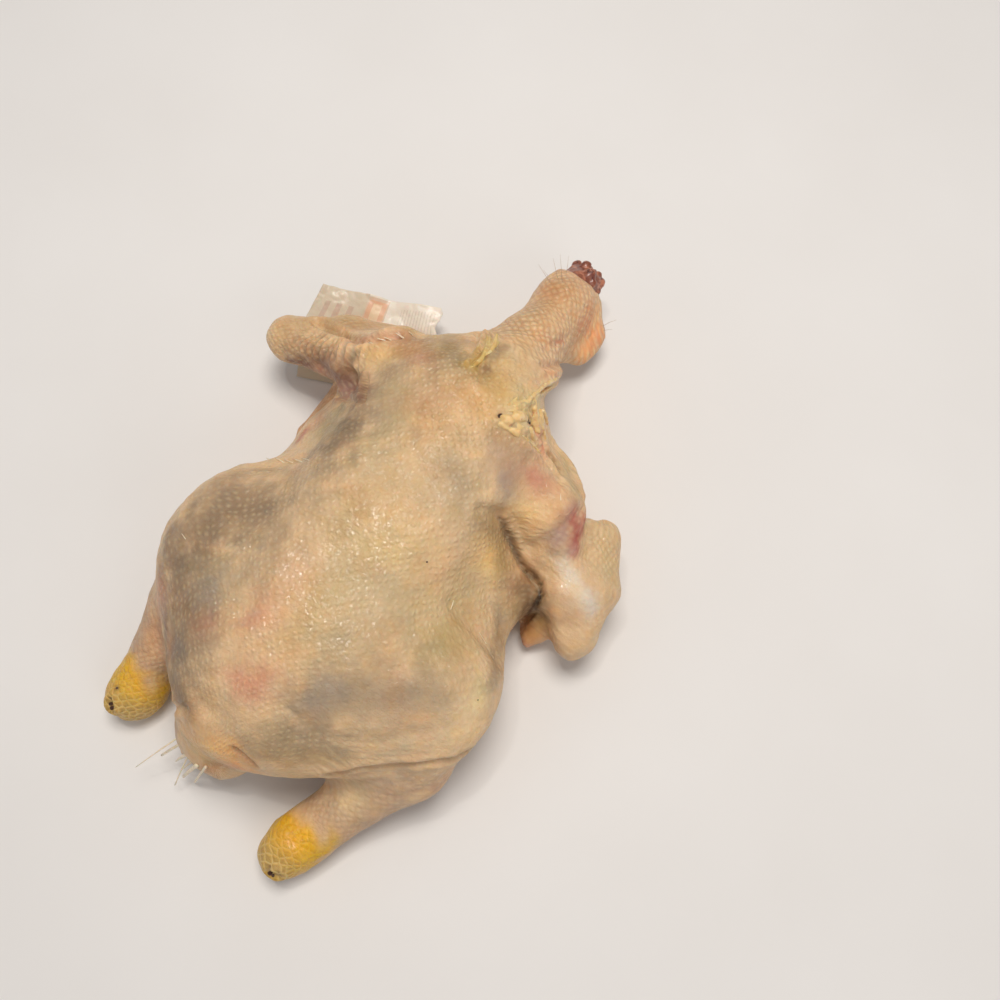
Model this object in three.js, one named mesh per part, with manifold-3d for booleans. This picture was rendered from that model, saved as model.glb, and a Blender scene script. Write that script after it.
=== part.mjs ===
// A whole raw chicken lying on its breast, back up: plucked, headless, with its neck on, its wings
// folded and its feet cut off at the hocks.
//
// Millimetres, +Z up. +Y runs along the spine towards the neck and +X is the bird's right. While
// the pieces are made, x = 0 is the spine and y = 0 lies between the knees; the whole is centred
// over its bounding box at the end.
//
// The bird is one skin-covered solid. Its masses are written as a distance field: muscles and bones
// are ellipsoids and tapered limbs that melt into each other, and loose skin is stretched between
// three points. The field is then skinned with a mesh of even cells, and what lies on it, such as
// fat and quills, is joined on. Two more pieces are separate: the meat of the neck, which runs
// through the neck's skin and shows at the cut, and the film tag under the left wing.
import * as THREE from "three";
import { mergeVertices } from "three/addons/utils/BufferGeometryUtils.js";
import Module from "manifold-3d";

const wasm = await Module();
wasm.setup();

// Driving dimensions
const BACK_HEIGHT = 107; // top of the back above the surface that the bird lies on
const BREAST_HALF_WIDTH = 74;
const PELVIS_HALF_WIDTH = 61;
const THIGH_SPREAD = 48; // from the spine to the middle of each thigh
const HOCK_RADIUS = 13;
const NECK_RADIUS = 14.5;
const NECK_CUT = 204; // where the head was cut off, along y
const NECK_MEAT_RADIUS = 8.5;
const QUILL_RADIUS = 0.8;
const TAG_LENGTH = 74;
const TAG_WIDTH = 48;
const TAG_THICKNESS = 0.5;
const GAP = 0.4; // between pieces that touch
const CELL = 7.1; // cell size of the bird's skin mesh
const MEAT_CELL = 4.2; // cell size of the neck meat's mesh

const vec = (x, y, z) => new THREE.Vector3(x, y, z);
const rad = THREE.MathUtils.degToRad;
const lerp = THREE.MathUtils.lerp;

// Distance fields: each is a function of a point, negative inside.

// An ellipsoid, turned about Z by turn degrees.
function ellipsoid(centre, radii, turn = 0) {
  const back = new THREE.Matrix4().makeRotationZ(rad(-turn));
  const scaled = vec(0, 0, 0);
  const squared = vec(0, 0, 0);
  return (p) => {
    scaled.copy(p).sub(centre).applyMatrix4(back).divide(radii);
    squared.copy(scaled).divide(radii);
    const near = scaled.length();
    return near < 1e-9 ? -Math.min(...radii.toArray()) : (near * (near - 1)) / squared.length();
  };
}

// A limb through a list of [x, y, z, radius] stations, tapering evenly between them.
function limb(stations, melt = 6) {
  const bones = stations.slice(1).map(([bx, by, bz, br], i) => {
    const [ax, ay, az, ar] = stations[i];
    const start = vec(ax, ay, az);
    const along = vec(bx, by, bz).sub(start);
    const offset = vec(0, 0, 0);
    return (p) => {
      offset.copy(p).sub(start);
      const t = THREE.MathUtils.clamp(offset.dot(along) / along.lengthSq(), 0, 1);
      return offset.addScaledVector(along, -t).length() - lerp(ar, br, t);
    };
  });
  return melted(melt, ...bones);
}

// Loose skin stretched between three points, of a given half thickness.
function web(a, b, c, half) {
  const skin = new THREE.Triangle(a, b, c);
  const nearest = vec(0, 0, 0);
  return (p) => skin.closestPointToPoint(p, nearest).distanceTo(p) - half;
}

// Fields joined with a fillet about as wide as melt.
function melted(melt, ...fields) {
  return (p) =>
    fields.reduce((near, field) => {
      const next = field(p);
      const mix = Math.max(melt - Math.abs(near - next), 0) / melt;
      return Math.min(near, next) - mix * mix * melt * 0.25;
    }, Infinity);
}

// A field with another carved out of it, its rim rounded about as wide as melt.
function carved(melt, field, groove) {
  const outside = melted(melt, (p) => -field(p), groove);
  return (p) => -outside(p);
}

const slopeProbe = vec(0, 0, 0);

function slopeAt(field, p, reach = 0.5) {
  const here = field(p);
  const slope = vec(0, 0, 0);
  for (const axis of [0, 1, 2]) {
    slopeProbe.copy(p).setComponent(axis, p.getComponent(axis) + reach);
    slope.setComponent(axis, (field(slopeProbe) - here) / reach);
  }
  return slope;
}

// The first point of the surface met from a start along a direction, by steps as long as the
// field allows.
function surfaceFrom(field, start, direction) {
  const p = start.clone();
  const way = direction.clone().normalize();
  for (let i = 0; i < 80; i++) p.addScaledVector(way, field(p) * 0.8);
  return p;
}

const topOf = (field, x, y) => surfaceFrom(field, vec(x, y, BACK_HEIGHT + 20), vec(0, 0, -1));

// The trunk: breast and belly below, then the back, the shoulders and the pelvis.
function trunk() {
  const back = BACK_HEIGHT - 43;
  return melted(
    24,
    ellipsoid(vec(2, 47, 36), vec(BREAST_HALF_WIDTH, 76, 40)),
    ellipsoid(vec(15, 34, back), vec(34, 88, 40)),
    ellipsoid(vec(-15, 34, back), vec(32, 88, 40)),
    ellipsoid(vec(-4, 92, 62), vec(40, 36, 33)),
    ellipsoid(vec(0, -38, 57), vec(PELVIS_HALF_WIDTH, 58, 40)),
    ellipsoid(vec(0, -34, 32), vec(56, 56, 33)),
  );
}

// A thigh lies forward against the body as a broad flattened cushion.
function thigh(side, reach) {
  return ellipsoid(vec(side * THIGH_SPREAD, -20, 48), vec(reach, 46, 39), side * -12);
}

// Drumsticks, from the knee back to the hock where the foot was cut off.
const rightDrumstick = [
  [64, -24, 36, 25],
  [70, -50, 29, 19],
  [63, -75, 22, 13.5],
  [55, -95, 16, 11.5],
  [49, -112, 13, HOCK_RADIUS],
  [47, -121, 12.5, HOCK_RADIUS - 0.5],
];
const leftDrumstick = [
  [-62, -30, 36, 24],
  [-64, -58, 29, 16],
  [-62, -82, 22, 11.5],
  [-61, -102, 14, HOCK_RADIUS],
  [-62, -109, 12.5, HOCK_RADIUS - 0.5],
];

function tail() {
  return melted(
    10,
    limb([[-4, -70, 52, 28], [-11, -94, 32, 15]]),
    ellipsoid(vec(-12, -98, 26), vec(24, 15, 11), -14),
  );
}

// The neck's axis, from between the shoulders to the cut.
const neckAxis = [[0, 96, 66], [0, 124, 64], [-1, 150, 54], [-4, 180, 42], [-6, NECK_CUT - 4, 34]];

// The neck, with the loose skin that hangs from its right side near the cut.
function neck() {
  const radii = [30, 17, NECK_RADIUS + 1, NECK_RADIUS, NECK_RADIUS];
  const tube = limb(neckAxis.map((place, i) => [...place, radii[i]]), 8);
  const flare = melted(
    4,
    web(vec(-2, NECK_CUT - 8, 34), vec(14, 186, 20), vec(0, 160, 46), 5),
    limb([[2, NECK_CUT - 5, 27, 8], [15, 186, 18, 7.5], [14, 175, 19, 7], [5, 160, 36, 8]]),
  );
  const beyondCut = (p) => p.y - NECK_CUT + (p.z - 34) * 0.45 + p.x * 0.1;
  const skin = melted(8, tube, flare);
  return (p) => Math.max(skin(p), beyondCut(p));
}

function rightWing() {
  const elbow = [100, 46, 27, 11];
  const wrist = [84, 90, 34, 10];
  return melted(
    6,
    limb([[34, 88, 66, 19], [55, 81, 58, 19], [70, 69, 48, 14], [85, 60, 41, 14], elbow]),
    limb([elbow, [104, 38, 24, 6]]),
    limb([elbow, [97, 68, 34, 12], wrist]),
    limb([wrist, [83, 58, 17, 9], [83, 40, 12, 7.5], [80.5, 25, 6, 4.5]]),
    web(vec(62, 82, 46), vec(96, 54, 30), vec(82, 86, 36), 8),
    web(vec(64, 66, 26), vec(80, 62, 22), vec(76, 42, 18), 6),
  );
}

// The skin stretched in front of the right shoulder, where the crop was torn open.
function shoulderFlap() {
  return web(vec(24, 118, 52), vec(60, 98, 52), vec(30, 92, 50), 7);
}

function leftWing() {
  const elbow = [-111, 84, 34, 12];
  const wrist = [-56, 113, 42, 11];
  return melted(
    6,
    limb([[-46, 97, 64, 20], [-62, 92, 57, 15], [-84, 88, 46, 12.5], elbow]),
    limb([elbow, [-84, 103, 38, 11], wrist]),
    limb([wrist, [-73, 84, 20, 8], [-82, 50, 7.5, 6.5]]),
    web(vec(-60, 96, 48), vec(-108, 84, 34), vec(-58, 112, 42), 5),
  );
}

const masses = melted(
  12,
  melted(18, trunk(), thigh(1, 45), thigh(-1, 41), neck(), tail()),
  melted(1, limb(rightDrumstick, 10), limb(leftDrumstick, 10)),
);
const wings = melted(1, rightWing(), leftWing(), shoulderFlap());
const plump = melted(5, masses, wings);

// Folds pressed into the skin. Each runs over the top of the bird through a list of places, as the
// lower part of a round bar of a given radius that sinks in by a given depth.
function fold(radius, depth, places) {
  return limb(
    places.map(([x, y]) => {
      const place = topOf(plump, x, y);
      const up = slopeAt(plump, place).normalize();
      return [...place.addScaledVector(up, radius - depth).toArray(), radius];
    }),
    2,
  );
}

const folds = melted(
  4,
  fold(9, 4, [[-6, -82], [6, -88], [14, -93]]), // between the tail and the right thigh
  fold(12, 2.5, [[50, 22], [63, 17], [78, 13]]), // between the right thigh and the breast
  fold(9, 4, [[-17, 117], [-18, 127], [-16, 134]]), // at the left root of the neck
  fold(8, 4, [[32, 108], [42, 102], [54, 98]]), // behind the shoulder flap
  fold(7, 6, [[46, 60], [54, 58], [62, 57], [71, 56]]), // between the right wing and the body
  fold(8, 3.5, [[-64, 103], [-80, 97], [-98, 91]]), // along the left wing
);

const bird = carved(6, plump, folds);

// A field's values at the corners of a grid of cells.
function sampled(field, low, high, cell) {
  const [nx, ny, nz] = high.clone().sub(low).divideScalar(cell).ceil().addScalar(1).toArray();
  const step = [1, nx, nx * ny];
  const values = new Float32Array(nx * ny * nz);
  const p = vec(0, 0, 0);
  for (let z = 0; z < nz; z++)
    for (let y = 0; y < ny; y++)
      for (let x = 0; x < nx; x++)
        values[x + y * nx + z * step[2]] = field(p.set(x, y, z).multiplyScalar(cell).add(low));
  return { values, step, size: [nx, ny, nz], low, cell };
}

// A cell's corners are numbered by bits for x, y and z. An edge is its axis and its low corner.
const edgeKey = (axis, corner) => axis * 8 + corner;
const edgeBetween = (a, b) => edgeKey(Math.log2(a ^ b), Math.min(a, b));
const cellCorners = [0, 1, 2, 3, 4, 5, 6, 7];
const cellEdges = [0, 1, 2].flatMap((axis) =>
  cellCorners.filter((c) => !(c & (1 << axis))).map((c) => [axis, c]),
);
const cellFaces = [0, 1, 2].flatMap((axis) => {
  const [u, v] = [1 << ((axis + 1) % 3), 1 << ((axis + 2) % 3)];
  return [0, 1 << axis].map((base) => [base, base | u, base | u | v, base | v]);
});

// The edges of one cell that the surface cuts, grouped by the sheet of surface that they share.
// On a face with two opposite corners inside, each of them is cut off alone.
function sheetsOf(filled) {
  const parent = new Map();
  for (const [axis, c] of cellEdges)
    if (filled[c] !== filled[c | (1 << axis)]) parent.set(edgeKey(axis, c), edgeKey(axis, c));
  const root = (k) => (parent.get(k) === k ? k : root(parent.get(k)));
  for (const face of cellFaces) {
    const sides = face.map((c, i) => [c, face[(i + 1) % 4]]);
    const cut = sides.filter(([a, b]) => filled[a] !== filled[b]);
    if (cut.length === 2) parent.set(root(edgeBetween(...cut[0])), root(edgeBetween(...cut[1])));
    if (cut.length < 4) continue;
    face.forEach((c, i) => {
      const [before, after] = [face[(i + 3) % 4], face[(i + 1) % 4]];
      if (filled[c]) parent.set(root(edgeBetween(before, c)), root(edgeBetween(c, after)));
    });
  }
  return Map.groupBy(parent.keys(), root);
}

// One point for every sheet of the surface in every cell, at the middle of its cuts.
function cellPoints({ values, step, size, low, cell }) {
  const points = [];
  const pointAt = new Map(); // from a cell and one of its edges
  for (let z = 0; z < size[2] - 1; z++)
    for (let y = 0; y < size[1] - 1; y++)
      for (let x = 0; x < size[0] - 1; x++) {
        const origin = x + y * step[1] + z * step[2];
        const value = (c) => values[origin + (c & 1) + (c & 2 && step[1]) + (c & 4 && step[2])];
        const filled = cellCorners.map((c) => value(c) < 0);
        if (filled.every((f) => f === filled[0])) continue;
        for (const keys of sheetsOf(filled).values()) {
          const middle = vec(0, 0, 0);
          for (const key of keys) {
            const [axis, c] = [key >> 3, key & 7];
            const [near, far] = [value(c), value(c | (1 << axis))];
            const cut = vec(c & 1, (c >> 1) & 1, (c >> 2) & 1).setComponent(axis, near / (near - far));
            middle.addScaledVector(cut, 1 / keys.length);
            pointAt.set(origin * 32 + key, points.length);
          }
          points.push(middle.add(vec(x, y, z)).multiplyScalar(cell).add(low));
        }
      }
  return { points, pointAt };
}

// A four-sided face across every grid edge that the surface cuts.
function crossings({ values, step, size }, pointAt) {
  const quads = [];
  for (let z = 1; z < size[2] - 1; z++)
    for (let y = 1; y < size[1] - 1; y++)
      for (let x = 1; x < size[0] - 1; x++)
        for (const axis of [0, 1, 2]) {
          const origin = x + y * step[1] + z * step[2];
          const inside = values[origin] < 0;
          if (inside === values[origin + step[axis]] < 0) continue;
          const [u, v] = [(axis + 1) % 3, (axis + 2) % 3];
          const ring = [[0, 0], [1, 0], [1, 1], [0, 1]].map(([du, dv]) => {
            const corner = origin - du * step[u] - dv * step[v];
            return pointAt.get(corner * 32 + edgeKey(axis, (du << u) | (dv << v)));
          });
          quads.push(inside ? ring : ring.reverse());
        }
  return quads;
}

// Moves points onto the surface, no further than a given reach at a time.
function settle(field, points, reach) {
  for (const q of points)
    for (let pass = 0; pass < 3; pass++) {
      const slope = slopeAt(field, q);
      const move = field(q) / Math.max(slope.lengthSq(), 0.25);
      q.addScaledVector(slope, -THREE.MathUtils.clamp(move, -reach, reach));
    }
}

// Evens out a net of four-sided faces: every point moves towards the middle of its neighbours.
function relax(points, quads) {
  const sums = points.map(() => vec(0, 0, 0));
  const counts = points.map(() => 0);
  for (const quad of quads)
    quad.forEach((a, i) => {
      const b = quad[(i + 1) % 4];
      sums[a].add(points[b]);
      sums[b].add(points[a]);
      counts[a] += 1;
      counts[b] += 1;
    });
  points.forEach((q, i) => q.lerp(sums[i].divideScalar(counts[i]), 0.5));
}

// The surface of a field as a closed mesh of even triangles.
function skinned(field, low, high, cell) {
  const grid = sampled(field, low, high, cell);
  const { points, pointAt } = cellPoints(grid);
  const quads = crossings(grid, pointAt);
  settle(field, points, cell / 4);
  for (let pass = 0; pass < 3; pass++) {
    relax(points, quads);
    settle(field, points, cell / 4);
  }
  const far = (a, b) => points[a].distanceTo(points[b]);
  const triangles = quads.flatMap(([a, b, c, d]) =>
    far(a, c) < far(b, d) ? [a, b, c, a, c, d] : [a, b, d, b, c, d],
  );
  return { points, triangles };
}

// A solid from points and a list of their triangles.
function solid({ points, triangles }) {
  const mesh = new wasm.Mesh({
    numProp: 3,
    vertProperties: new Float32Array(points.flatMap((q) => q.toArray())),
    triVerts: new Uint32Array(triangles),
  });
  return new wasm.Manifold(mesh);
}

// A solid from one of the library's closed geometries, whose corners are first welded.
function solidOf(geometry) {
  const bare = new THREE.BufferGeometry().setAttribute("position", geometry.getAttribute("position"));
  bare.setIndex(geometry.index);
  const { index, attributes } = mergeVertices(bare, 1e-4);
  const points = [];
  for (let i = 0; i < attributes.position.count; i++)
    points.push(new THREE.Vector3().fromBufferAttribute(attributes.position, i));
  return solid({ points, triangles: [...index.array] });
}

function geometryOf(manifold) {
  const mesh = manifold.getMesh();
  const geometry = new THREE.BufferGeometry()
    .setAttribute("position", new THREE.BufferAttribute(mesh.vertProperties, 3))
    .setIndex(new THREE.BufferAttribute(mesh.triVerts, 1));
  geometry.computeVertexNormals();
  return geometry;
}

// A small rounded lump, its long axis turned from +Z to the way it leans.
function lump(centre, radii, lean = vec(0, 0, 1), detail = 1) {
  const turn = new THREE.Quaternion().setFromUnitVectors(vec(0, 0, 1), lean.clone().normalize());
  return solidOf(
    new THREE.IcosahedronGeometry(1, detail)
      .scale(radii.x, radii.y, radii.z)
      .applyQuaternion(turn)
      .translate(...centre.toArray()),
  );
}

// A cut quill, from its root under the skin to its tip.
function quill(root, tip, radius = QUILL_RADIUS) {
  const along = tip.clone().sub(root);
  const turn = new THREE.Quaternion().setFromUnitVectors(vec(0, 1, 0), along.clone().normalize());
  const middle = root.clone().addScaledVector(along, 0.5);
  return solidOf(
    new THREE.CylinderGeometry(radius * 0.6, radius, along.length(), 6)
      .applyQuaternion(turn)
      .translate(...middle.toArray()),
  );
}

// A repeatable draw between 0 and 1.
function drawer(seed) {
  let state = seed;
  return () => {
    state = (state * 16807) % 2147483647;
    return state / 2147483647;
  };
}

// Torn fat where the crop was opened, as strands and lobules lying on the skin.
function cropFat() {
  const draw = drawer(11);
  const lobules = [];
  for (let i = 0; i < 18; i++) {
    const spread = 0.25 + 0.75 * Math.sqrt(draw());
    const turn = draw() * 2 * Math.PI;
    const across = Math.cos(turn) * spread * 8;
    const along = Math.sin(turn) * spread * 17;
    const x = 27 + across + along * 0.5;
    const y = 106 + across * 0.5 - along * 0.85;
    const place = topOf(bird, x, y);
    const up = slopeAt(bird, place).normalize();
    const strand = vec(0.5 + draw() * 0.5, -0.9 + draw() * 0.8, 0).projectOnPlane(up);
    const length = 3 + draw() * 4.5;
    lobules.push(lump(place, vec(2.2 + draw(), 2 + draw(), length), strand));
  }
  return lobules;
}

// Quill stumps in a row: roots along a line over the bird, each leaning its own way.
function quillRow(count, from, to, lean, length, seed) {
  const draw = drawer(seed);
  return [...Array(count).keys()].map((i) => {
    const t = (i + draw() * 0.6) / count;
    const start = vec(lerp(from.x, to.x, t), lerp(from.y, to.y, t), lerp(from.z, to.z, t));
    const root = surfaceFrom(bird, start.addScaledVector(lean, 25), lean.clone().negate());
    const wander = vec(draw() - 0.5, draw() - 0.5, (draw() - 0.5) * 0.6).multiplyScalar(0.7);
    const way = lean.clone().add(wander).normalize();
    const tip = root.clone().addScaledVector(way, length * (0.6 + draw() * 0.8));
    return quill(root.addScaledVector(way, -2.5), tip);
  });
}

function quills() {
  return [
    ...quillRow(8, vec(-32, -104, 24), vec(-2, -112, 18), vec(-0.25, -0.95, 0.05), 10, 5),
    ...quillRow(6, vec(-78, 12, 62), vec(-54, 29, 62), vec(-0.8, -0.5, 0.5), 4, 9),
    ...quillRow(4, vec(-68, 106, 52), vec(-56, 116, 48), vec(-0.5, 0.5, 0.8), 4, 21),
  ];
}

// The bird lies on a flat patch of its breast: what would sink below the surface is pressed flat.
const resting = (p) => Math.max(bird(p), -p.z);
const FLATTEN = 0.5; // skin this close to the surface lies on it

function birdSolid() {
  const skin = skinned(resting, vec(-145, -150, -CELL * 1.5), vec(125, 225, 125), CELL);
  for (const q of skin.points) if (q.z < FLATTEN) q.z = 0;
  const pits = [
    lump(topOf(bird, 19, 95), vec(2, 2.4, 5)), // torn holes beside the crop
    lump(topOf(bird, 31, 99), vec(1.8, 2.8, 4)),
    lump(vec(47, -133.5, 15), vec(3, 3, 2.4)), // where the feet were cut from the hocks
    lump(vec(-64, -121.5, 16), vec(3, 3, 2.4)),
  ];
  return wasm.Manifold.union([solid(skin), ...cropFat(), ...quills()]).subtract(
    wasm.Manifold.union(pits),
  );
}

// The meat of the neck: a core down the middle of the neck that ends in the cut muscle bundles.
function neckMeatField() {
  const core = limb(neckAxis.map((place) => [...place, NECK_MEAT_RADIUS]), 4);
  const bundles = [...Array(7).keys()].map((i) => {
    const turn = (i / 7) * 2 * Math.PI + 0.4;
    const out = i % 2 ? 5.6 : 4.2;
    const x = -5 + Math.cos(turn) * out * 1.3;
    const z = 31 + Math.sin(turn) * out;
    return limb([[x, NECK_CUT - 3, z + 2, 4], [x * 1.1, NECK_CUT + 4 + (i % 3) * 1.8, z - 1, 3.9 - (i % 3) * 0.5]]);
  });
  return melted(1.2, core, ...bundles);
}

const neckMeatMesh = skinned(neckMeatField(), vec(-30, 80, 10), vec(30, 225, 90), MEAT_CELL);

// The same mesh with every point moved out along its normal.
function grown({ points, triangles }, distance) {
  const normals = points.map(() => vec(0, 0, 0));
  for (let i = 0; i < triangles.length; i += 3) {
    const [a, b, c] = triangles.slice(i, i + 3);
    const face = new THREE.Triangle(points[a], points[b], points[c]);
    const normal = face.getNormal(vec(0, 0, 0)).multiplyScalar(face.getArea());
    for (const corner of [a, b, c]) normals[corner].add(normal);
  }
  const moved = points.map((q, i) => q.clone().addScaledVector(normals[i].normalize(), distance));
  return { points: moved, triangles };
}

// The tag: a strip of crumpled film that lies under the left wing, resting on its lower edge.
function tagMesh() {
  const [columns, rows] = [14, 9];
  const corner = vec(-129, 120, 0);
  const along = vec(0.91, 0.414, 0);
  const across = vec(0.414, -0.91, 0);
  const height = (u, v) =>
    lerp(21, 1, v) + 1.6 * Math.sin(u * 7 + v * 2) * (1 - v * 0.8) + 0.8 * Math.sin(u * 17 - v * 5) * (1 - v);
  const points = [];
  for (const side of [0, 1])
    for (let r = 0; r <= rows; r++)
      for (let c = 0; c <= columns; c++) {
        const [u, v] = [c / columns, r / rows];
        const ragged = c === columns ? 1.2 * Math.sin(r * 2.4) : 0;
        points.push(
          corner
            .clone()
            .addScaledVector(along, u * TAG_LENGTH + ragged)
            .addScaledVector(across, v * TAG_WIDTH)
            .setZ(height(u, v) - side * TAG_THICKNESS),
        );
      }
  const at = (side, r, c) => side * (rows + 1) * (columns + 1) + r * (columns + 1) + c;
  const triangles = [];
  const quad = (a, b, c, d) => triangles.push(a, b, c, a, c, d);
  for (let r = 0; r < rows; r++)
    for (let c = 0; c < columns; c++) {
      quad(at(0, r, c), at(0, r + 1, c), at(0, r + 1, c + 1), at(0, r, c + 1));
      quad(at(1, r, c), at(1, r, c + 1), at(1, r + 1, c + 1), at(1, r + 1, c));
    }
  for (let r = 0; r < rows; r++) {
    quad(at(0, r + 1, 0), at(0, r, 0), at(1, r, 0), at(1, r + 1, 0));
    quad(at(0, r, columns), at(0, r + 1, columns), at(1, r + 1, columns), at(1, r, columns));
  }
  for (let c = 0; c < columns; c++) {
    quad(at(0, 0, c), at(0, 0, c + 1), at(1, 0, c + 1), at(1, 0, c));
    quad(at(0, rows, c + 1), at(0, rows, c), at(1, rows, c), at(1, rows, c + 1));
  }
  return { points, triangles };
}

function piece(name, manifold, color, roughness) {
  const mesh = new THREE.Mesh(
    geometryOf(manifold),
    new THREE.MeshStandardMaterial({ color, roughness, metalness: 0 }),
  );
  mesh.name = name;
  return mesh;
}

const chicken = new THREE.Group();
chicken.name = "raw_chicken";
chicken.add(
  piece("bird", birdSolid().subtract(solid(grown(neckMeatMesh, GAP))), 0xd9bd92, 0.45),
  piece("neck_meat", solid(neckMeatMesh), 0x6e2a2e, 0.35),
  piece("wing_tag", solid(tagMesh()), 0xdedad2, 0.3),
);

const box = new THREE.Box3().setFromObject(chicken);
const centre = box.getCenter(vec(0, 0, 0));
chicken.position.set(-centre.x, -centre.y, -box.min.z);

export default chicken;
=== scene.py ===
# %% [markdown]
# # A whole raw chicken
#
# The bird lies on its breast with its back up: plucked, headless, its neck still on, its wings
# folded and its feet cut off at the hocks. The solid model gives its masses. Here it gets what an
# eye looks for in raw poultry: moist, slightly see-through skin with rows of feather follicles,
# loose folds, bruises, yellow scaly hocks, quill stumps, torn fat, and the meat at the neck's cut.
#
# Lengths are in metres. MM turns a number of millimetres into metres.

import math
import random

import bpy
import numpy as np
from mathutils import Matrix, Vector, noise
from mathutils.bvhtree import BVHTree


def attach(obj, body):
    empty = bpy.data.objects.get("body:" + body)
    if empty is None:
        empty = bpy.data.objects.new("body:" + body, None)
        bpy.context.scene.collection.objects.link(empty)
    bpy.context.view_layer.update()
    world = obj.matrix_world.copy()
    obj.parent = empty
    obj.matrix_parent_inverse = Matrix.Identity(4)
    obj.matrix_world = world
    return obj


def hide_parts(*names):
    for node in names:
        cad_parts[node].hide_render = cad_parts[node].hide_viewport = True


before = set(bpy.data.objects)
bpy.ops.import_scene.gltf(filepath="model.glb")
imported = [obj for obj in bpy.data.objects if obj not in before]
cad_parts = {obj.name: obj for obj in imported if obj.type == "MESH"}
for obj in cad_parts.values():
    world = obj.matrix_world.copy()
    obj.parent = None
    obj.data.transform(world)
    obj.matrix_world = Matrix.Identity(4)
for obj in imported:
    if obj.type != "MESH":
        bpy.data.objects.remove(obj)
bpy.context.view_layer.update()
MM = 0.001
SPINE = Vector((8.08, -39.61, 0)) * MM  # where the spine crosses the line between the knees

# %% [markdown]
# ## Camera
#
# The picture looks steeply down on the bird: 74 degrees below the horizon, from half a metre above
# the floor, with the bird's spine turned 36 degrees from the picture's upright. The same camera
# also works backwards: it sends a line of sight from a spot in the photograph down to the skin, so
# every fold and bruise can be put where it was seen and still lie on the surface. A camera set by
# eye would look as good, but its lines of sight would miss.

# %% Camera
PHOTO = 1000  # pixels on a side
FOCAL = 963  # focal length in pixels
CAMERA_PLACE = SPINE + Vector((108.4, -28.5, 504)) * MM
CAMERA_TILT = math.radians(15.6)  # away from straight down
CAMERA_TURN = math.radians(36)

bpy.ops.object.camera_add(location=CAMERA_PLACE, rotation=(CAMERA_TILT, 0, CAMERA_TURN))
camera = bpy.context.object
camera.data.sensor_width = 36
camera.data.lens = 36 * FOCAL / PHOTO
camera.data.clip_start = 0.01
bpy.context.scene.camera = camera
camera_axes = camera.rotation_euler.to_matrix()
print("camera lens", round(camera.data.lens, 2), "mm")


def line_of_sight(px, py):
    """The direction in which the camera sees a pixel of the photograph."""
    half = PHOTO / 2
    return (camera_axes @ Vector(((px - half) / FOCAL, (half - py) / FOCAL, -1))).normalized()


# %% [markdown]
# ## Small helpers
#
# Operators act on whatever is selected, so each step first selects just its own object. Colours
# are written as they look on screen, from 0 to 255, and turned into the linear values that
# shaders work in. All this could be written out at every use; as functions it is said once.

# %% Helpers


def only(obj):
    """Makes one object the only selected one, and the active one."""
    bpy.ops.object.select_all(action="DESELECT")
    obj.select_set(True)
    bpy.context.view_layer.objects.active = obj
    return obj


def linear(red, green, blue):
    """A colour as seen on screen, 0 to 255, in linear light."""
    parts = [v / 255 for v in (red, green, blue)]
    return tuple(v / 12.92 if v <= 0.04045 else ((v + 0.055) / 1.055) ** 2.4 for v in parts)


def apply(obj, kind, **settings):
    """Adds a modifier to an object and applies it."""
    only(obj)
    modifier = obj.modifiers.new(kind.title(), kind)
    for key, value in settings.items():
        setattr(modifier, key, value)
    bpy.ops.object.modifier_apply(modifier=modifier.name)


def remake(obj, net, rounds):
    """Remakes a mesh as an even net of squares, in mm, and smooths it a few rounds."""
    apply(obj, "REMESH", mode="VOXEL", voxel_size=net * MM, use_smooth_shade=True)
    apply(obj, "SMOOTH", factor=0.5, iterations=rounds)


def mend(obj, merge=None, outward=True):
    """Merges points closer than so many mm, and turns the faces outward."""
    only(obj)
    bpy.ops.object.mode_set(mode="EDIT")
    bpy.ops.mesh.select_all(action="SELECT")
    if merge:
        bpy.ops.mesh.remove_doubles(threshold=merge * MM)
    if outward:
        bpy.ops.mesh.normals_make_consistent(inside=False)
    bpy.ops.object.mode_set(mode="OBJECT")


def join(name, parts):
    """Joins objects into one piece, its place in its mesh."""
    only(parts[0])
    for part in parts[1:]:
        part.select_set(True)
    bpy.ops.object.join()
    piece = bpy.context.object
    piece.name = piece.data.name = name
    bpy.ops.object.transform_apply(location=True, rotation=True, scale=True)
    return piece


def points_of(obj):
    points = np.empty(len(obj.data.vertices) * 3)
    obj.data.vertices.foreach_get("co", points)
    return points.reshape(-1, 3)


def normals_of(obj):
    normals = np.empty(len(obj.data.vertices) * 3)
    obj.data.vertices.foreach_get("normal", normals)
    return normals.reshape(-1, 3)


def set_points(obj, points):
    obj.data.vertices.foreach_set("co", points.ravel())
    obj.data.update()


def make_lumpy(obj, size, height):
    """Raises and sinks a surface in smooth lumps; their size and height are in mm."""
    shifted = points_of(obj)
    lumps = np.array([noise.noise(Vector(p) / (size * MM)) for p in shifted])
    shifted += normals_of(obj) * (lumps * height * MM)[:, None]
    set_points(obj, shifted)


def surface_of(obj):
    """A piece's surface as it is now, for lines of sight to meet."""
    return BVHTree.FromObject(obj, bpy.context.evaluated_depsgraph_get())


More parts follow.
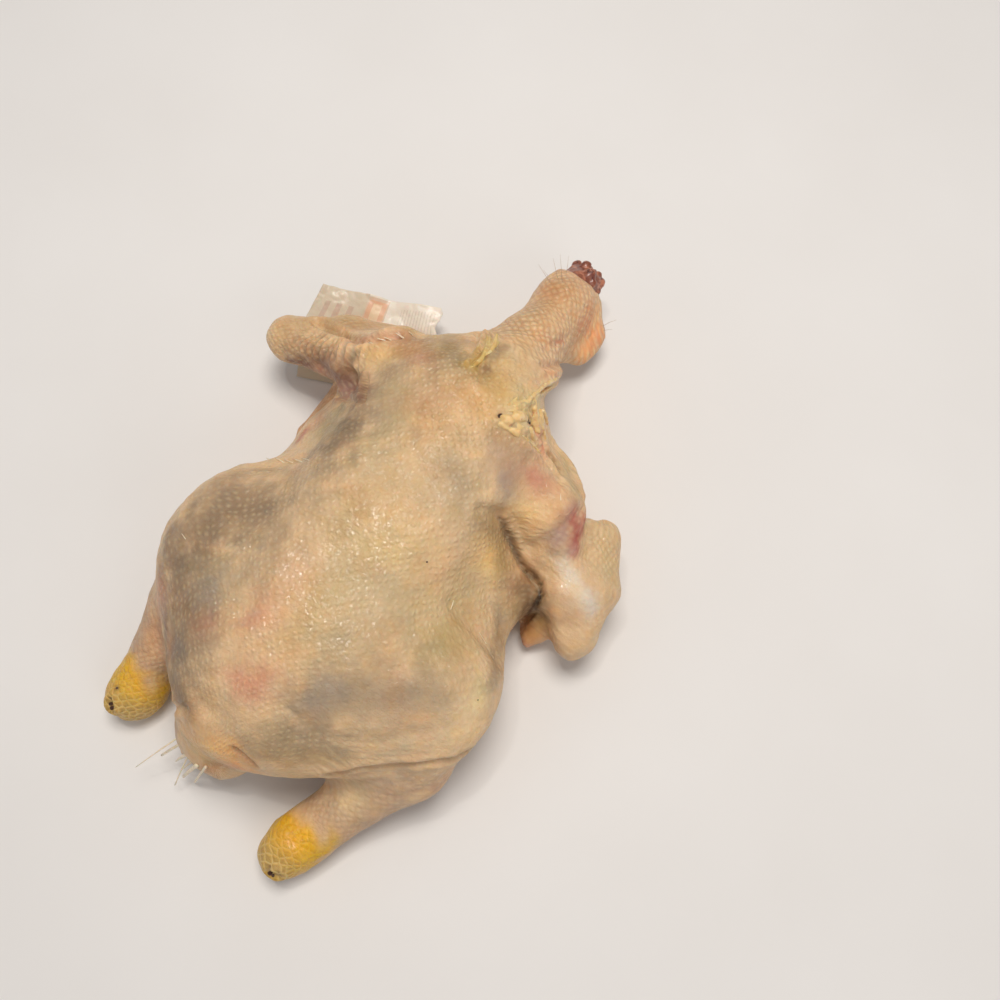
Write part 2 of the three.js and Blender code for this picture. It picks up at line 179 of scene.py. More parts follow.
def new_material(name):
    """An empty material with its shader, and helpers to add nodes to it."""
    material = bpy.data.materials.new(name)
    material.use_nodes = True
    tree = material.node_tree
    shader = tree.nodes["Principled BSDF"]

    def node(kind, **inputs):
        made = tree.nodes.new("ShaderNode" + kind)
        for key, value in inputs.items():
            if key in made.inputs:
                if isinstance(value, bpy.types.NodeSocket):
                    tree.links.new(value, made.inputs[key])
                else:
                    made.inputs[key].default_value = value
            else:
                setattr(made, key, value)
        return made

    def maths(operation, *values, clamp=False):
        made = tree.nodes.new("ShaderNodeMath")
        made.operation = operation
        made.use_clamp = clamp
        for socket, value in zip(made.inputs, values):
            if isinstance(value, bpy.types.NodeSocket):
                tree.links.new(value, socket)
            else:
                socket.default_value = value
        return made.outputs[0]

    def mix(factor, low, high, blend="MIX"):
        made = tree.nodes.new("ShaderNodeMix")
        made.data_type = "RGBA"
        made.blend_type = blend
        for socket, value in zip((made.inputs[0], made.inputs[6], made.inputs[7]), (factor, low, high)):
            if isinstance(value, bpy.types.NodeSocket):
                tree.links.new(value, socket)
            elif isinstance(value, tuple):
                socket.default_value = (*value, 1)
            else:
                socket.default_value = value
        return made.outputs[2]

    return material, tree, shader, node, maths, mix


print("helpers ready")

# %% [markdown]
# ## Floor and light
#
# The bird lies on a plain pale floor, so that nothing but the bird catches the eye. One broad lamp
# overhead gives the soft shadows, a small one beside it the sharp wet glints, and two weaker broad
# ones fill the sides. A bright sky all around could light it too, but lamps can be placed one by
# one, until the shadows fall as in the photograph.

# %% Floor and lights
FLOOR_SIZE = 6.0


def make_floor():
    bpy.ops.mesh.primitive_plane_add(size=FLOOR_SIZE, location=(0, 0, 0))
    floor = bpy.context.object
    floor.name = "floor"
    material, tree, shader, node, maths, mix = new_material("pale_floor")
    place = node("TexCoord").outputs["Object"]
    mottle = node("TexNoise", Vector=place, Scale=9.0, Detail=4.0).outputs["Fac"]
    shade = mix(mottle, linear(226, 221, 215), linear(233, 229, 224))
    tree.links.new(shade, shader.inputs["Base Color"])
    shader.inputs["Roughness"].default_value = 0.75
    shader.inputs["Specular IOR Level"].default_value = 0.25
    floor.data.materials.append(material)
    return floor


def make_lamp(name, place, size, power, colour, target=(0, 0, 0.04)):
    bpy.ops.object.light_add(type="AREA", location=place)
    lamp = bpy.context.object
    lamp.name = name
    lamp.data.shape = "DISK"
    lamp.data.size = size
    lamp.data.energy = power
    lamp.data.color = colour
    lamp.rotation_euler = (Vector(target) - Vector(place)).to_track_quat("-Z", "Y").to_euler()
    return lamp


LAMPS = [  # name, place, width in metres, power in watts, colour
    ("softbox_overhead", (-0.02, 0.27, 1.25), 0.5, 9.8, (1, 0.965, 0.93)),
    ("small_lamp", (-0.25, 0.1, 1.3), 0.06, 1.4, (1, 0.97, 0.94)),
    ("softbox_right", (1.1, -0.3, 0.9), 0.9, 2.4, (1, 0.97, 0.94)),
    ("softbox_left", (-0.8, -0.9, 0.8), 1.0, 1.35, (0.95, 0.97, 1)),
]
make_floor()
for lamp in LAMPS:
    make_lamp(*lamp)
world = bpy.data.worlds.new("pale_room")
world.use_nodes = True
world.node_tree.nodes["Background"].inputs["Color"].default_value = (0.93, 0.95, 1, 1)
world.node_tree.nodes["Background"].inputs["Strength"].default_value = 0.3
bpy.context.scene.world = world
bpy.context.scene.view_settings.view_transform = "Standard"

# %% [markdown]
# ## The skin's mesh
#
# The solid bird is faceted and coarse. It could be smoothed with subdivision alone, but its
# triangles would show as ridges. Instead a copy is remade as an even net of small squares, smoothed,
# and divided again, which gives a clay-like surface fine enough to sculpt folds of two or three
# millimetres. The quill stumps and fat of the solid are too thin for the net and drop out of it:
# they come back further down as pieces of their own.

# %% Make the skin's mesh
SKIN_NET = 3.0  # mm


def copy_of(node_name, piece_name):
    """A merged copy of one of the solids."""
    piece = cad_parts[node_name].copy()
    piece.data = piece.data.copy()
    piece.data.materials.clear()
    piece.name = piece.data.name = piece_name
    bpy.context.collection.objects.link(piece)
    mend(piece, merge=0.01, outward=False)
    return piece


def make_skin_net():
    skin = copy_of("bird", "bird_skin")
    remake(skin, SKIN_NET, 6)
    apply(skin, "SUBSURF", levels=1, render_levels=1)
    return skin


skin = make_skin_net()
print("skin net:", len(skin.data.polygons), "faces")

# %% [markdown]
# ## Finding places on the skin
#
# A fold is drawn as a trail: a few spots in the photograph, each dropped along its line of sight
# onto the skin. How much a point of the skin is moved or tinted depends on how far it lies from
# the trail. Points could be picked by hand instead, but would have to be picked again after every
# change of the mesh.

# %% Trails on the skin
sight = surface_of(skin)


def seen(px, py):
    """Where the line of sight through a pixel of the photograph meets the skin."""
    spot = sight.ray_cast(CAMERA_PLACE, line_of_sight(px, py))[0]
    return spot if spot else sight.find_nearest(CAMERA_PLACE + line_of_sight(px, py) * 0.5)[0]


def pixels_of(places):
    """Where places in the scene lie in the photograph, in pixels."""
    x, y, z = ((places - np.array(CAMERA_PLACE)) @ np.array(camera_axes)).T
    return np.stack([PHOTO / 2 - FOCAL * x / z, PHOTO / 2 + FOCAL * y / z, 0 * z], axis=1)


def distance_to(points, trail):
    """How far each point is from a trail of one or more spots."""
    trail = [np.array(spot) for spot in trail]
    nearest = np.linalg.norm(points - trail[0], axis=1)
    for start, end in zip(trail, trail[1:]):
        along = end - start
        t = np.clip((points - start) @ along / (along @ along), 0, 1)
        nearest = np.minimum(nearest, np.linalg.norm(points - start - t[:, None] * along, axis=1))
    return nearest


def on_photo(*pixels):
    return [seen(*pixel) for pixel in pixels]


def fall(distance, width):
    """A soft bell: 1 on the trail, fading out over a width."""
    return np.exp(-((distance / width) ** 2))


print("mid-back lies at", [round(v, 3) for v in seen(345, 560)])

# %% [markdown]
# ## Folds
#
# Loose skin over soft flesh gathers wherever a limb bends. Each fold here is a groove pressed in
# along its trail, with the skin it displaces heaped up a little on both sides. A groove has a
# depth and a width in millimetres; a negative depth raises a ridge instead. Brushes in sculpt mode
# do the same by hand; numbers were chosen because each fold can be corrected alone and run again.

# %% Press the folds
points = points_of(skin)
normals = normals_of(skin)


def swelling(size, height, seed):
    """Smooth random displacement of a given size and height, in mm."""
    shift = Vector((seed, seed * 2, seed * 3))
    values = [noise.noise(Vector(p) / (size * MM) + shift) for p in points]
    return np.array(values) * height * MM


def press(trail, depth, width, lip=0.35):
    """Presses a groove along a trail; what it displaces rises beside it."""
    distance = distance_to(points, trail)
    profile = fall(distance, width * MM) - lip * fall(distance - 2.1 * width * MM, width * MM)
    points[:] -= normals * (depth * MM * profile)[:, None]


FOLDS = {  # from the photograph: spots, depth and width in mm
    "tail notch": ([(172, 704), (178, 707), (185, 710)], 1.8, 1.8),
    "tail from thigh": ([(234, 750), (243, 756), (254, 765)], 2.0, 1.7),
    "thigh wrinkle 1": ([(290, 711), (300, 722), (316, 733), (336, 741)], 0.7, 1.6),
    "thigh wrinkle 2": ([(300, 716), (318, 727), (346, 739)], 0.5, 1.5),
    "thigh wrinkle 3": ([(340, 738), (380, 741), (410, 732)], 0.35, 2.4),
    "thigh rim": ([(329, 773), (361, 767), (404, 766), (438, 761), (466, 752)], 2.4, 2.0),
    "thigh rim, under": ([(340, 776), (370, 771), (404, 770)], 1.2, 3.0),
    "thigh from breast": ([(452, 602), (476, 632), (498, 662)], 1.3, 3.5),
    "breast line": ([(470, 560), (492, 600), (505, 640)], 0.7, 3.0),
    "armpit": ([(480, 509), (492, 511), (499, 515)], 1.6, 2.4),
    "pleat 1": ([(488, 333), (483, 349), (469, 366)], 1.6, 1.2),
    "pleat 2": ([(480, 333), (475, 346), (462, 358)], 1.2, 1.5),
    "pleat 3": ([(494, 336), (489, 351), (476, 369)], 1.6, 1.2),
    "neck root": ([(500, 362), (488, 374), (480, 378)], 1.5, 2.4),
    "neck underside": ([(541, 367), (549, 366), (559, 364)], 1.8, 1.6),
    "torn skin 1": ([(532, 399), (536, 394), (546, 389), (558, 380)], 1.4, 1.3),
    "torn skin 2": ([(514, 401), (524, 397), (534, 388)], 0.8, 1.3),
    "torn skin 3": ([(503, 414), (515, 412), (525, 411)], 1.1, 1.2),
    "torn skin 4": ([(533, 424), (536, 430), (540, 438)], 1.0, 1.2),
    "crop tear": ([(528, 437), (532, 442), (540, 450), (552, 468), (562, 482)], 1.4, 1.8),
    "flap crease": ([(544, 436), (548, 452), (556, 464), (562, 474)], 1.8, 1.8),
    "elbow crease": ([(582, 512), (564, 527), (546, 540), (530, 547)], 1.3, 3.4),
    "elbow hollow": ([(592, 512), (598, 520), (604, 522)], 1.0, 2.4),
    "forearm from elbow": ([(552, 556), (570, 560), (590, 556)], 0.8, 3.0),
    "left wing, long": ([(316, 321), (330, 328), (344, 336), (360, 342), (380, 338), (398, 335)], 3.4, 2.2),
    "left wing, root": ([(363, 346), (357, 354), (356, 362)], 2.0, 1.6),
    "left shoulder, edge": ([(367, 378), (366, 390), (364, 403)], 2.8, 1.6),
    "left web, foot": ([(339, 396), (351, 401), (362, 404)], 1.5, 1.4),
    "left web": ([(351, 376), (351, 394)], 3.6, 5.5),
    "left shoulder": ([(375, 340), (396, 342), (424, 336)], 0.8, 2.2),
    "left wing, under": ([(300, 360), (322, 366), (350, 398)], 1.0, 2.4),
    "pelvis crease": ([(182, 660), (196, 690), (206, 712)], 0.8, 3.0),
    "waist": ([(228, 470), (262, 466), (300, 458)], 0.8, 2.6),
    "neck bruise": ([(552, 346), (560, 338), (568, 336)], 0.9, 1.7),
}
for spots, depth, width in FOLDS.values():
    press(on_photo(*spots), depth, width)
print(len(FOLDS), "folds pressed")

# %% [markdown]
# Ridges are the same thing the other way round: the cords of skin at the neck's root, the edge of
# the torn flap, the wing's tendons and the bones that show under thin skin. Where the torn edge
# beside the crop and the fold under the neck bend in or out in the picture, the skin is pushed
# sideways. Small deep pits finish the relief: two torn holes beside the crop, and the sockets
# where the feet were cut off.

# %% Raise the ridges and sink the pits
RIDGES = {
    "pleat cord 1": ([(485, 333), (480, 348), (466, 364)], -2.0, 1.3),
    "pleat cord 2": ([(491, 334), (486, 350), (472, 368)], -2.4, 1.3),
    "pleat cord 3": ([(497, 338), (492, 352), (482, 366)], -1.8, 1.3),
    "torn skin edge 1": ([(526, 405), (535, 394), (546, 384), (560, 377)], -0.9, 1.6),
    "torn skin edge 2": ([(540, 396), (549, 391), (558, 385)], -0.7, 1.5),
    "torn skin cord": ([(546, 372), (556, 370), (562, 374)], -0.9, 2.2),
    "flap edge": ([(546, 414), (561, 440), (572, 466), (583, 496)], -1.4, 1.8),
    "flap strand": ([(533, 402), (541, 424), (549, 446)], -1.1, 1.7),
    "spine": ([(452, 420), (400, 500), (340, 590), (262, 690)], -0.5, 6.0),
    "forearm tendon": ([(560, 590), (556, 620), (562, 640)], -0.8, 3.0),
    "wing bone": ([(514, 500), (528, 530), (542, 560)], -0.8, 3.5),
    "left arm bone": ([(290, 345), (322, 352), (356, 380)], -1.0, 3.6),
}
ARMPIT = [  # spots in the photograph and how deep the skin drops away there, in mm
    ((499, 517), 3),
    ((505, 530), 6),
    ((512, 545), 9),
    ((520, 561), 11),
    ((530, 573), 12),
    ((539, 583), 12),
    ((541, 594), 10),
    ((534, 606), 9),
    ((526, 619), 8),
    ((520, 630), 6),
]
RIBS = {"pitch": 4.8, "height": 1.2, "spots": [(308, 342), (325, 346), (342, 350), (356, 356)]}
HOCK_PITS = [  # spot in the photograph, depth and width in mm
    ((272, 872), 3.4, 1.9),
    ((278, 874), 2.8, 1.6),
    ((270, 866), 1.4, 1.2),
    ((111, 704), 3.4, 1.9),
    ((112, 709), 3.0, 1.7),
    ((111, 698), 1.6, 1.2),
    ((117, 688), 1.0, 1.1),
]
TORN_HOLES = [  # spots in the photograph, depth and width in mm
    ([(499, 416), (501, 416)], 2.2, 1.5),
    ([(526, 418), (530, 424)], 2.0, 1.2),
]
SHOVES = [  # spots in the photograph, shift to the right in mm, width in pixels
    ([(554, 400), (556, 414), (558, 428), (563, 442)], -4.4, 11),
    ([(552, 372), (553, 382)], 3.6, 9),
]
for spots, depth, width in RIDGES.values():
    press(on_photo(*spots), depth, width, lip=0.15)
for spots, shift, width in SHOVES:
    sideways = np.array((math.cos(CAMERA_TURN), math.sin(CAMERA_TURN), 0)) * shift * MM
    spots = [(px, py, 0) for px, py in spots]
    points += fall(distance_to(pixels_of(points), spots), width)[:, None] * sideways
for spots, depth, width in TORN_HOLES:
    press(on_photo(*spots), depth, width, lip=0.1)


def drop_armpit():
    """Sinks the skin between the right wing and the body straight down, ever deeper."""
    spots = [np.array(seen(*pixel)[:2]) for pixel, _ in ARMPIT]
    depths = [depth for _, depth in ARMPIT]
    sunk = np.zeros(len(points))
    upper = normals[:, 2] > -0.3
    for start, end, shallow, deep in zip(spots, spots[1:], depths, depths[1:]):
        along = end - start
        t = np.clip((points[:, :2] - start) @ along / (along @ along), 0, 1)
        off = np.linalg.norm(points[:, :2] - start - t[:, None] * along, axis=1)
        sunk = np.maximum(sunk, (shallow + (deep - shallow) * t) * fall(off, 1.7 * MM))
    points[:, 2] -= sunk * upper * MM


def raise_ribs():
    """Skin gathered into ribs across the left upper arm."""
    trail = on_photo(*RIBS["spots"])
    near = fall(distance_to(points, trail), 6.5 * MM) * (normals[:, 2] > 0)
    way = np.array((trail[-1] - trail[0]).normalized())
    phase = (points @ way) / (RIBS["pitch"] * MM) + swelling(12, 0.5, 31) / MM
    wave = near * np.sin(phase * 2 * math.pi)
    points[:] += normals * (wave * RIBS["height"] * MM)[:, None]
    return wave


drop_armpit()
rib_wave = raise_ribs()
for pixel, depth, width in HOCK_PITS:
    press(on_photo(pixel), depth, width, lip=0.25)

# %% [markdown]
# Real skin is nowhere perfectly fair. Three sizes of random swelling take the last of the
# computed smoothness away: broad ones a few centimetres across, middling ones of about one
# centimetre, and slight ones of a few millimetres. A displace modifier could add them; here the
# points are plain numbers already, so the swellings are simply added.

# %% Make the skin uneven
points += normals * (swelling(26, 1.5, 3) + swelling(9, 0.55, 7) + swelling(4.5, 0.22, 11))[:, None]
points[:, 2] = np.maximum(points[:, 2], 0.05 * MM)
set_points(skin, points)
sight = surface_of(skin)
print("skin spans", np.round(points.min(0), 4), np.round(points.max(0), 4))

# %% [markdown]
# ## Rows of follicles
#
# Feathers grow in rows that wrap around the trunk, the neck and each limb, and every plucked
# follicle leaves a small dome. To lay such rows, each part of the skin gets coordinates of its own:
# how far around its axis a spot lies and how far along, both in metres. They are kept per face
# corner, so that no face straddles the jump between two parts. An image of dots wrapped around
# the bird would stretch; rows laid by such coordinates keep their spacing.

# %% Coordinates around the trunk and the limbs
TRUNK = [(0, -150, 45), (0, 240, 45)]
LIMBS = {
    "neck": [(0, 96, 66), (0, 124, 64), (-1, 150, 54), (-4, 180, 42), (-6, 200, 34), (-8, 225, 27)],
    "right leg": [(64, -24, 36), (70, -50, 29), (63, -75, 22), (55, -95, 16), (47, -135, 12)],
    "left leg": [(-62, -30, 36), (-64, -58, 29), (-62, -82, 22), (-62, -124, 12)],
    "right arm": [(34, 88, 66), (55, 81, 58), (70, 69, 48), (100, 46, 27)],
    "right forearm": [(100, 46, 27), (97, 68, 34), (84, 90, 34)],
    "right hand": [(84, 90, 34), (83, 58, 17), (83, 40, 12), (80.5, 25, 6)],
    "left arm": [(-46, 97, 64), (-62, 92, 57), (-84, 88, 46), (-116, 83, 34)],
    "left forearm": [(-111, 84, 34), (-84, 103, 38), (-50, 115, 42)],
    "left hand": [(-56, 113, 42), (-73, 84, 20), (-82, 50, 7.5)],
}
LIMB_GIRTH = {"trunk": 62 * MM, "limb": 15 * MM}  # radius at which the rows have their true spacing


def around(places, axis, girth, facing):
    """Distance around and along an axis, and how far off it each place lies."""
    axis = np.array(axis) * MM + np.array(SPINE)
    best = np.full(len(places), np.inf)
    grain = np.zeros((len(places), 2))
    walked = 0.0
    for start, end in zip(axis, axis[1:]):
        length = np.linalg.norm(end - start)
        way = (end - start) / length
        up = np.array([0, 0, 1.0]) - way * way[2]
        up /= np.linalg.norm(up)
        t = np.clip((places - start) @ way, 0, length)
        off = places - start - t[:, None] * way
        distance = np.linalg.norm(off, axis=1)
        angle = np.arctan2(off @ np.cross(way, up), off @ up)
        nearer = distance < best
        grain[nearer] = np.stack([angle * girth, walked + t], 1)[nearer]
        best = np.minimum(best, distance)
        walked += length
    if facing is not None:  # keep a face's corners on the same turn as its middle
        turn = 2 * math.pi * girth
        grain[:, 0] += np.round((facing - grain[:, 0]) / turn) * turn
    return grain, best


def corner_attribute(obj, name, values):
    values = np.concatenate([values, np.zeros((len(values), 3 - values.shape[1]))], axis=1)
    made = obj.data.attributes.new(name, "FLOAT_VECTOR", "CORNER")
    made.data.foreach_set("vector", values.astype(np.float32).ravel())


def lay_grain(obj):
    """Stores the rows' coordinates around the trunk and around the nearest limb."""
    mesh = obj.data
    sides = len(mesh.loops) // len(mesh.polygons)
    corner_points = np.empty(len(mesh.loops), dtype=int)
    mesh.loops.foreach_get("vertex_index", corner_points)
    corners = points_of(obj)[corner_points]
    middles = corners.reshape(-1, sides, 3).mean(1)

    def of_axis(axis, girth):
        middle, far = around(middles, axis, girth, None)
        grain, _ = around(corners, axis, girth, np.repeat(middle[:, 0], sides))
        return grain, far

    corner_attribute(obj, "trunk_rows", of_axis(TRUNK, LIMB_GIRTH["trunk"])[0])
    chosen = np.zeros((len(corners), 2))
    best = np.full(len(middles), np.inf)
    for axis in LIMBS.values():
        grain, far = of_axis(axis, LIMB_GIRTH["limb"])
        nearer = far < best
        chosen[np.repeat(nearer, sides)] = grain[np.repeat(nearer, sides)]
        best = np.minimum(best, far)
    corner_attribute(obj, "limb_rows", chosen)
    return best


lay_grain(skin)
print("rows laid around the trunk and", len(LIMBS), "limbs")

# %% [markdown]
# ## Colours of the skin
#
# Raw skin has hardly any colour of its own. It shows what lies below: cream where there is fat,
# grey where dark thigh muscle shines through, pink where the plucking bruised it, deep red over
# burst veins. Some patches are painted shade and light instead: brown and dim shade in the
# grooves, along the bird's edges, in the crevice under the right wing and in the web under the
# left wing, and pale painted highlights of the wet sheen on the right forearm. The colours are
# painted as soft patches along trails, the way a food stylist's wax model would be tinted, over
# one cream ground. They could be brushed on in vertex paint mode; a list of patches was chosen
# because each of them can be moved or made weaker later.

# %% Paint the skin
CREAM = linear(225, 189, 145)
PALE = linear(236, 208, 168)
BLUE_GREY = linear(158, 144, 130)
GREY = linear(166, 142, 112)
OLIVE = linear(192, 168, 122)
WARM = linear(226, 182, 122)
PINK = linear(214, 146, 118)
ROSE = linear(222, 158, 116)
PURPLE = linear(170, 138, 124)
PEACH = linear(222, 176, 126)
PLEAT = linear(214, 172, 84)
SHADE = linear(140, 104, 66)
BLOOD = linear(172, 74, 62)
# painted shade: brown for grooves, the crevice under the right wing and the web under the left wing
BROWN_SHADE = linear(150, 108, 86)
LEG = linear(188, 150, 116)
# painted shade for the bird's sides and edges
DIM_SHADE = linear(150, 124, 96)
# painted shadow deep in the crevice under the right wing
CREVICE_SHADOW = linear(84, 48, 28)
HAND = linear(202, 146, 104)
ROSE_RED = linear(188, 96, 80)
WINE = linear(112, 56, 44)
SHEEN = linear(232, 212, 182)
# painted highlight of the wet sheen on the right forearm
WET_HIGHLIGHT = linear(222, 208, 194)
HOCK = linear(228, 178, 10)
HORN = linear(202, 166, 98)
YELLOW = linear(246, 178, 12)
SOCKET = linear(84, 34, 22)
# painted shade inside the torn holes
HOLE_SHADE = linear(120, 76, 48)

tint = np.tile(np.array(CREAM), (len(points), 1))
RAGGED = swelling(8, 1, 41) / MM + 0.5 * swelling(3.5, 1, 43) / MM  # frays the patches' edges


def paint(trail, colour, strength, width):
    """Lays a soft, ragged patch of colour along a trail; the width is in mm."""
    reach = width * (1 + 0.55 * RAGGED) * MM
    cover = strength * fall(distance_to(points, trail), np.maximum(reach, 0.3 * MM))[:, None]
    tint[:] = tint * (1 - cover) + np.array(colour) * cover


def along(limb, *shares):
    """Spots along a limb's axis, as shares of its listed joints."""
    joints = [Vector(joint) for joint in LIMBS[limb]]
    spots = []
    for share in shares:
        i = min(int(share), len(joints) - 2)
        spots.append(SPINE + joints[i].lerp(joints[i + 1], share - i) * MM)
    return spots


PATCHES = [  # spots in the photograph, colour, strength, width in mm
    ([(440, 405), (400, 470), (470, 430)], WARM, 0.4, 22),
    ([(345, 585), (385, 565), (405, 610), (345, 640)], OLIVE, 0.65, 20),
    ([(465, 590), (440, 660)], OLIVE, 0.5, 16),
    ([(322, 700), (350, 690), (385, 700), (425, 690)], GREY, 0.85, 15),
    ([(275, 742), (300, 735), (330, 745)], GREY, 0.7, 11),
    ([(400, 745), (450, 735), (480, 700)], PALE, 0.4, 12),
    # painted shade along the bird's left side
    ([(205, 530), (230, 500), (258, 505)], DIM_SHADE, 0.85, 17),
    ([(180, 560), (190, 600), (182, 640)], DIM_SHADE, 0.7, 14),
    ([(172, 530), (163, 600), (166, 660), (180, 700)], DIM_SHADE, 0.9, 7),
    ([(292, 480), (320, 470)], GREY, 0.5, 11),
    ([(270, 560), (240, 580)], GREY, 0.4, 10),
    # painted shade along the bird's right edge
    ([(493, 680), (496, 650), (500, 620), (505, 590)], DIM_SHADE, 0.7, 6),
    ([(612, 575), (606, 530)], OLIVE, 0.5, 9),
    # painted shade beside the right armpit
    ([(505, 600), (500, 560)], DIM_SHADE, 0.6, 7),
    ([(455, 640), (462, 600)], OLIVE, 0.7, 10),
    ([(225, 600), (214, 570)], OLIVE, 0.4, 12),
    ([(248, 622), (262, 616)], PINK, 0.5, 6),
    ([(203, 628), (208, 622)], PINK, 0.5, 6),
    ([(196, 650), (205, 640)], GREY, 0.5, 8),
    ([(240, 678), (254, 686), (262, 680)], PINK, 0.6, 7),
    ([(282, 600), (300, 575)], ROSE, 0.3, 12),
    ([(212, 585), (206, 600)], BLUE_GREY, 0.5, 7),
    ([(178, 650), (176, 670)], BLUE_GREY, 0.5, 5),
    ([(316, 700), (330, 690)], BLUE_GREY, 0.5, 7),
    ([(506, 486), (508, 494)], BLUE_GREY, 0.6, 5),
    ([(380, 420), (392, 424)], BLUE_GREY, 0.4, 8),
    ([(160, 590), (156, 640)], PINK, 0.45, 9),
    ([(392, 372), (384, 420), (402, 398)], GREY, 0.75, 12),
    ([(372, 440), (410, 410)], OLIVE, 0.5, 10),
    # brown painted shade on the left shoulder
    ([(404, 348), (430, 354)], BROWN_SHADE, 0.5, 9),
    ([(412, 352), (426, 356)], PINK, 0.4, 7),
    ([(446, 348), (462, 360)], GREY, 0.8, 8),
    # brown painted shade along the left shoulder's far edge
    ([(400, 334), (440, 340), (470, 342)], BROWN_SHADE, 0.3, 5),
    ([(452, 468), (462, 480)], GREY, 0.5, 8),
    ([(500, 452), (512, 470)], PURPLE, 0.5, 9),
    ([(504, 484), (508, 492)], PURPLE, 0.6, 6),
    ([(532, 476), (542, 484)], PINK, 0.8, 6),
    ([(524, 512), (536, 520), (545, 510)], WARM, 0.5, 10),
    ([(556, 540), (566, 524), (574, 508)], PURPLE, 0.85, 5.5),
    ([(574, 516), (577, 534), (574, 552)], ROSE_RED, 0.8, 4.8),
    ([(585, 520), (582, 532)], ROSE_RED, 0.85, 3.4),
    ([(577, 532), (576, 550)], BLOOD, 0.65, 2.8),
    ([(566, 470), (576, 492)], OLIVE, 0.6, 5),
    ([(537, 430), (544, 450)], PINK, 0.8, 3.5),
    # painted highlights: the wet sheen on the right forearm
    ([(564, 562), (572, 576)], WET_HIGHLIGHT, 0.6, 5),
    ([(587, 595), (592, 608)], WET_HIGHLIGHT, 0.65, 4.5),
    ([(574, 584), (582, 600)], WET_HIGHLIGHT, 0.3, 8),
    ([(488, 540), (508, 566)], WARM, 0.6, 10),
    # painted shade in the crevice under the right wing
    ([(512, 580), (520, 620)], BROWN_SHADE, 0.5, 6),
    ([(488, 336), (484, 352), (474, 365)], PLEAT, 0.7, 2.6),
    ([(467, 364), (475, 366)], PLEAT, 0.75, 3.4),
    ([(482, 340), (480, 348)], HORN, 0.6, 1.2),
    ([(483, 352), (478, 357)], SHADE, 0.7, 0.9),
    ([(488, 355), (484, 361)], SHADE, 0.8, 1.0),
    ([(498, 341), (495, 349)], SHADE, 0.7, 1.0),
    # painted shade in the groove at the neck's root
    ([(484, 369), (489, 370)], BROWN_SHADE, 0.85, 2.4),
    # dim painted shade at the neck's root
    ([(490, 359), (498, 352), (506, 347)], DIM_SHADE, 0.6, 2.6),
    ([(505, 418), (518, 417), (530, 426), (540, 415)], SHEEN, 0.5, 4.5),
    ([(528, 402), (545, 388), (556, 380)], SHEEN, 0.4, 3),
    ([(505, 380), (520, 400), (545, 420)], PALE, 0.5, 8),
    ([(338, 412), (322, 430)], OLIVE, 0.6, 9),
    # painted shade under the left wing
    ([(350, 425), (330, 450)], DIM_SHADE, 0.8, 9),
    ([(370, 390), (368, 412), (345, 440)], DIM_SHADE, 0.6, 6),
    # painted shade in the web under the left wing
    ([(296, 340), (320, 352), (340, 366)], BROWN_SHADE, 0.55, 7),
    ([(322, 368), (340, 380), (352, 390)], BROWN_SHADE, 0.9, 9),
    ([(346, 386), (357, 390), (360, 398)], BROWN_SHADE, 0.9, 5),
    ([(344, 390), (352, 396)], PURPLE, 0.5, 4),
    ([(563, 458), (570, 470)], OLIVE, 0.6, 3),
    ([(548, 452), (556, 464), (560, 472)], SHADE, 0.7, 1.6),
    ([(496, 440), (512, 444), (526, 452)], GREY, 0.45, 6),
    ([(542, 367), (549, 366), (559, 364)], BLOOD, 0.35, 1.3),
    ([(546, 372), (558, 374)], ROSE, 0.6, 3.5),
    ([(291, 361), (302, 363), (313, 366)], WINE, 0.85, 3.2),
    ([(357, 352), (352, 362)], SHADE, 0.5, 2.0),
    ([(326, 330), (345, 337), (364, 341)], SHADE, 0.5, 2.0),
    ([(366, 380), (365, 392), (363, 402)], SHADE, 0.6, 1.6),
    # painted shadow deep in the crevice under the right wing
    ([(500, 518), (512, 546), (522, 563)], CREVICE_SHADOW, 0.6, 2.6),
    ([(532, 574), (541, 586), (540, 596), (531, 609), (521, 627)], CREVICE_SHADOW, 0.95, 3.6),
    ([(526, 582), (530, 598), (524, 612)], SHADE, 0.8, 6),
    ([(352, 342), (364, 340), (400, 338)], PINK, 0.4, 4),
    # brown painted shade along the left wing's far edge
    ([(340, 322), (380, 322)], BROWN_SHADE, 0.3, 5),
    ([(190, 735), (215, 745), (236, 757)], PEACH, 0.85, 11),
    ([(205, 770), (240, 768)], ROSE, 0.7, 5),
    ([(172, 722), (176, 732)], PURPLE, 0.6, 4),
    # painted shade in the groove between tail and thigh
    ([(234, 750), (254, 765)], BROWN_SHADE, 0.55, 2.2),
    ([(188, 764), (192, 768)], PURPLE, 0.7, 2.5),
    ([(300, 385), (318, 420)], ROSE, 0.6, 6),
    ([(430, 400), (462, 392)], ROSE, 0.35, 9),
]
for spots, colour, strength, width in PATCHES:
    paint(on_photo(*spots), colour, strength, width)

paint(along("neck", 2, 3, 4), ROSE, 0.5, 22)
paint(on_photo((588, 318), (596, 342), (584, 350)), linear(232, 152, 104), 0.75, 9)
paint(on_photo((554, 344), (562, 340)), BLOOD, 0.5, 2.2)
for leg in ("right leg", "left leg"):
    paint(along(leg, 1, 2, 2.6), LEG, 0.8, 22)
    paint(along(leg, 0.7, 1.5), PURPLE, 0.5, 22)
paint(on_photo((344, 800), (352, 794)), PALE, 0.5, 7)
for hand in ("right hand", "left hand"):
    paint(along(hand, 1.3, 2.9), HAND, 0.85, 11)
print(len(PATCHES), "patches painted")

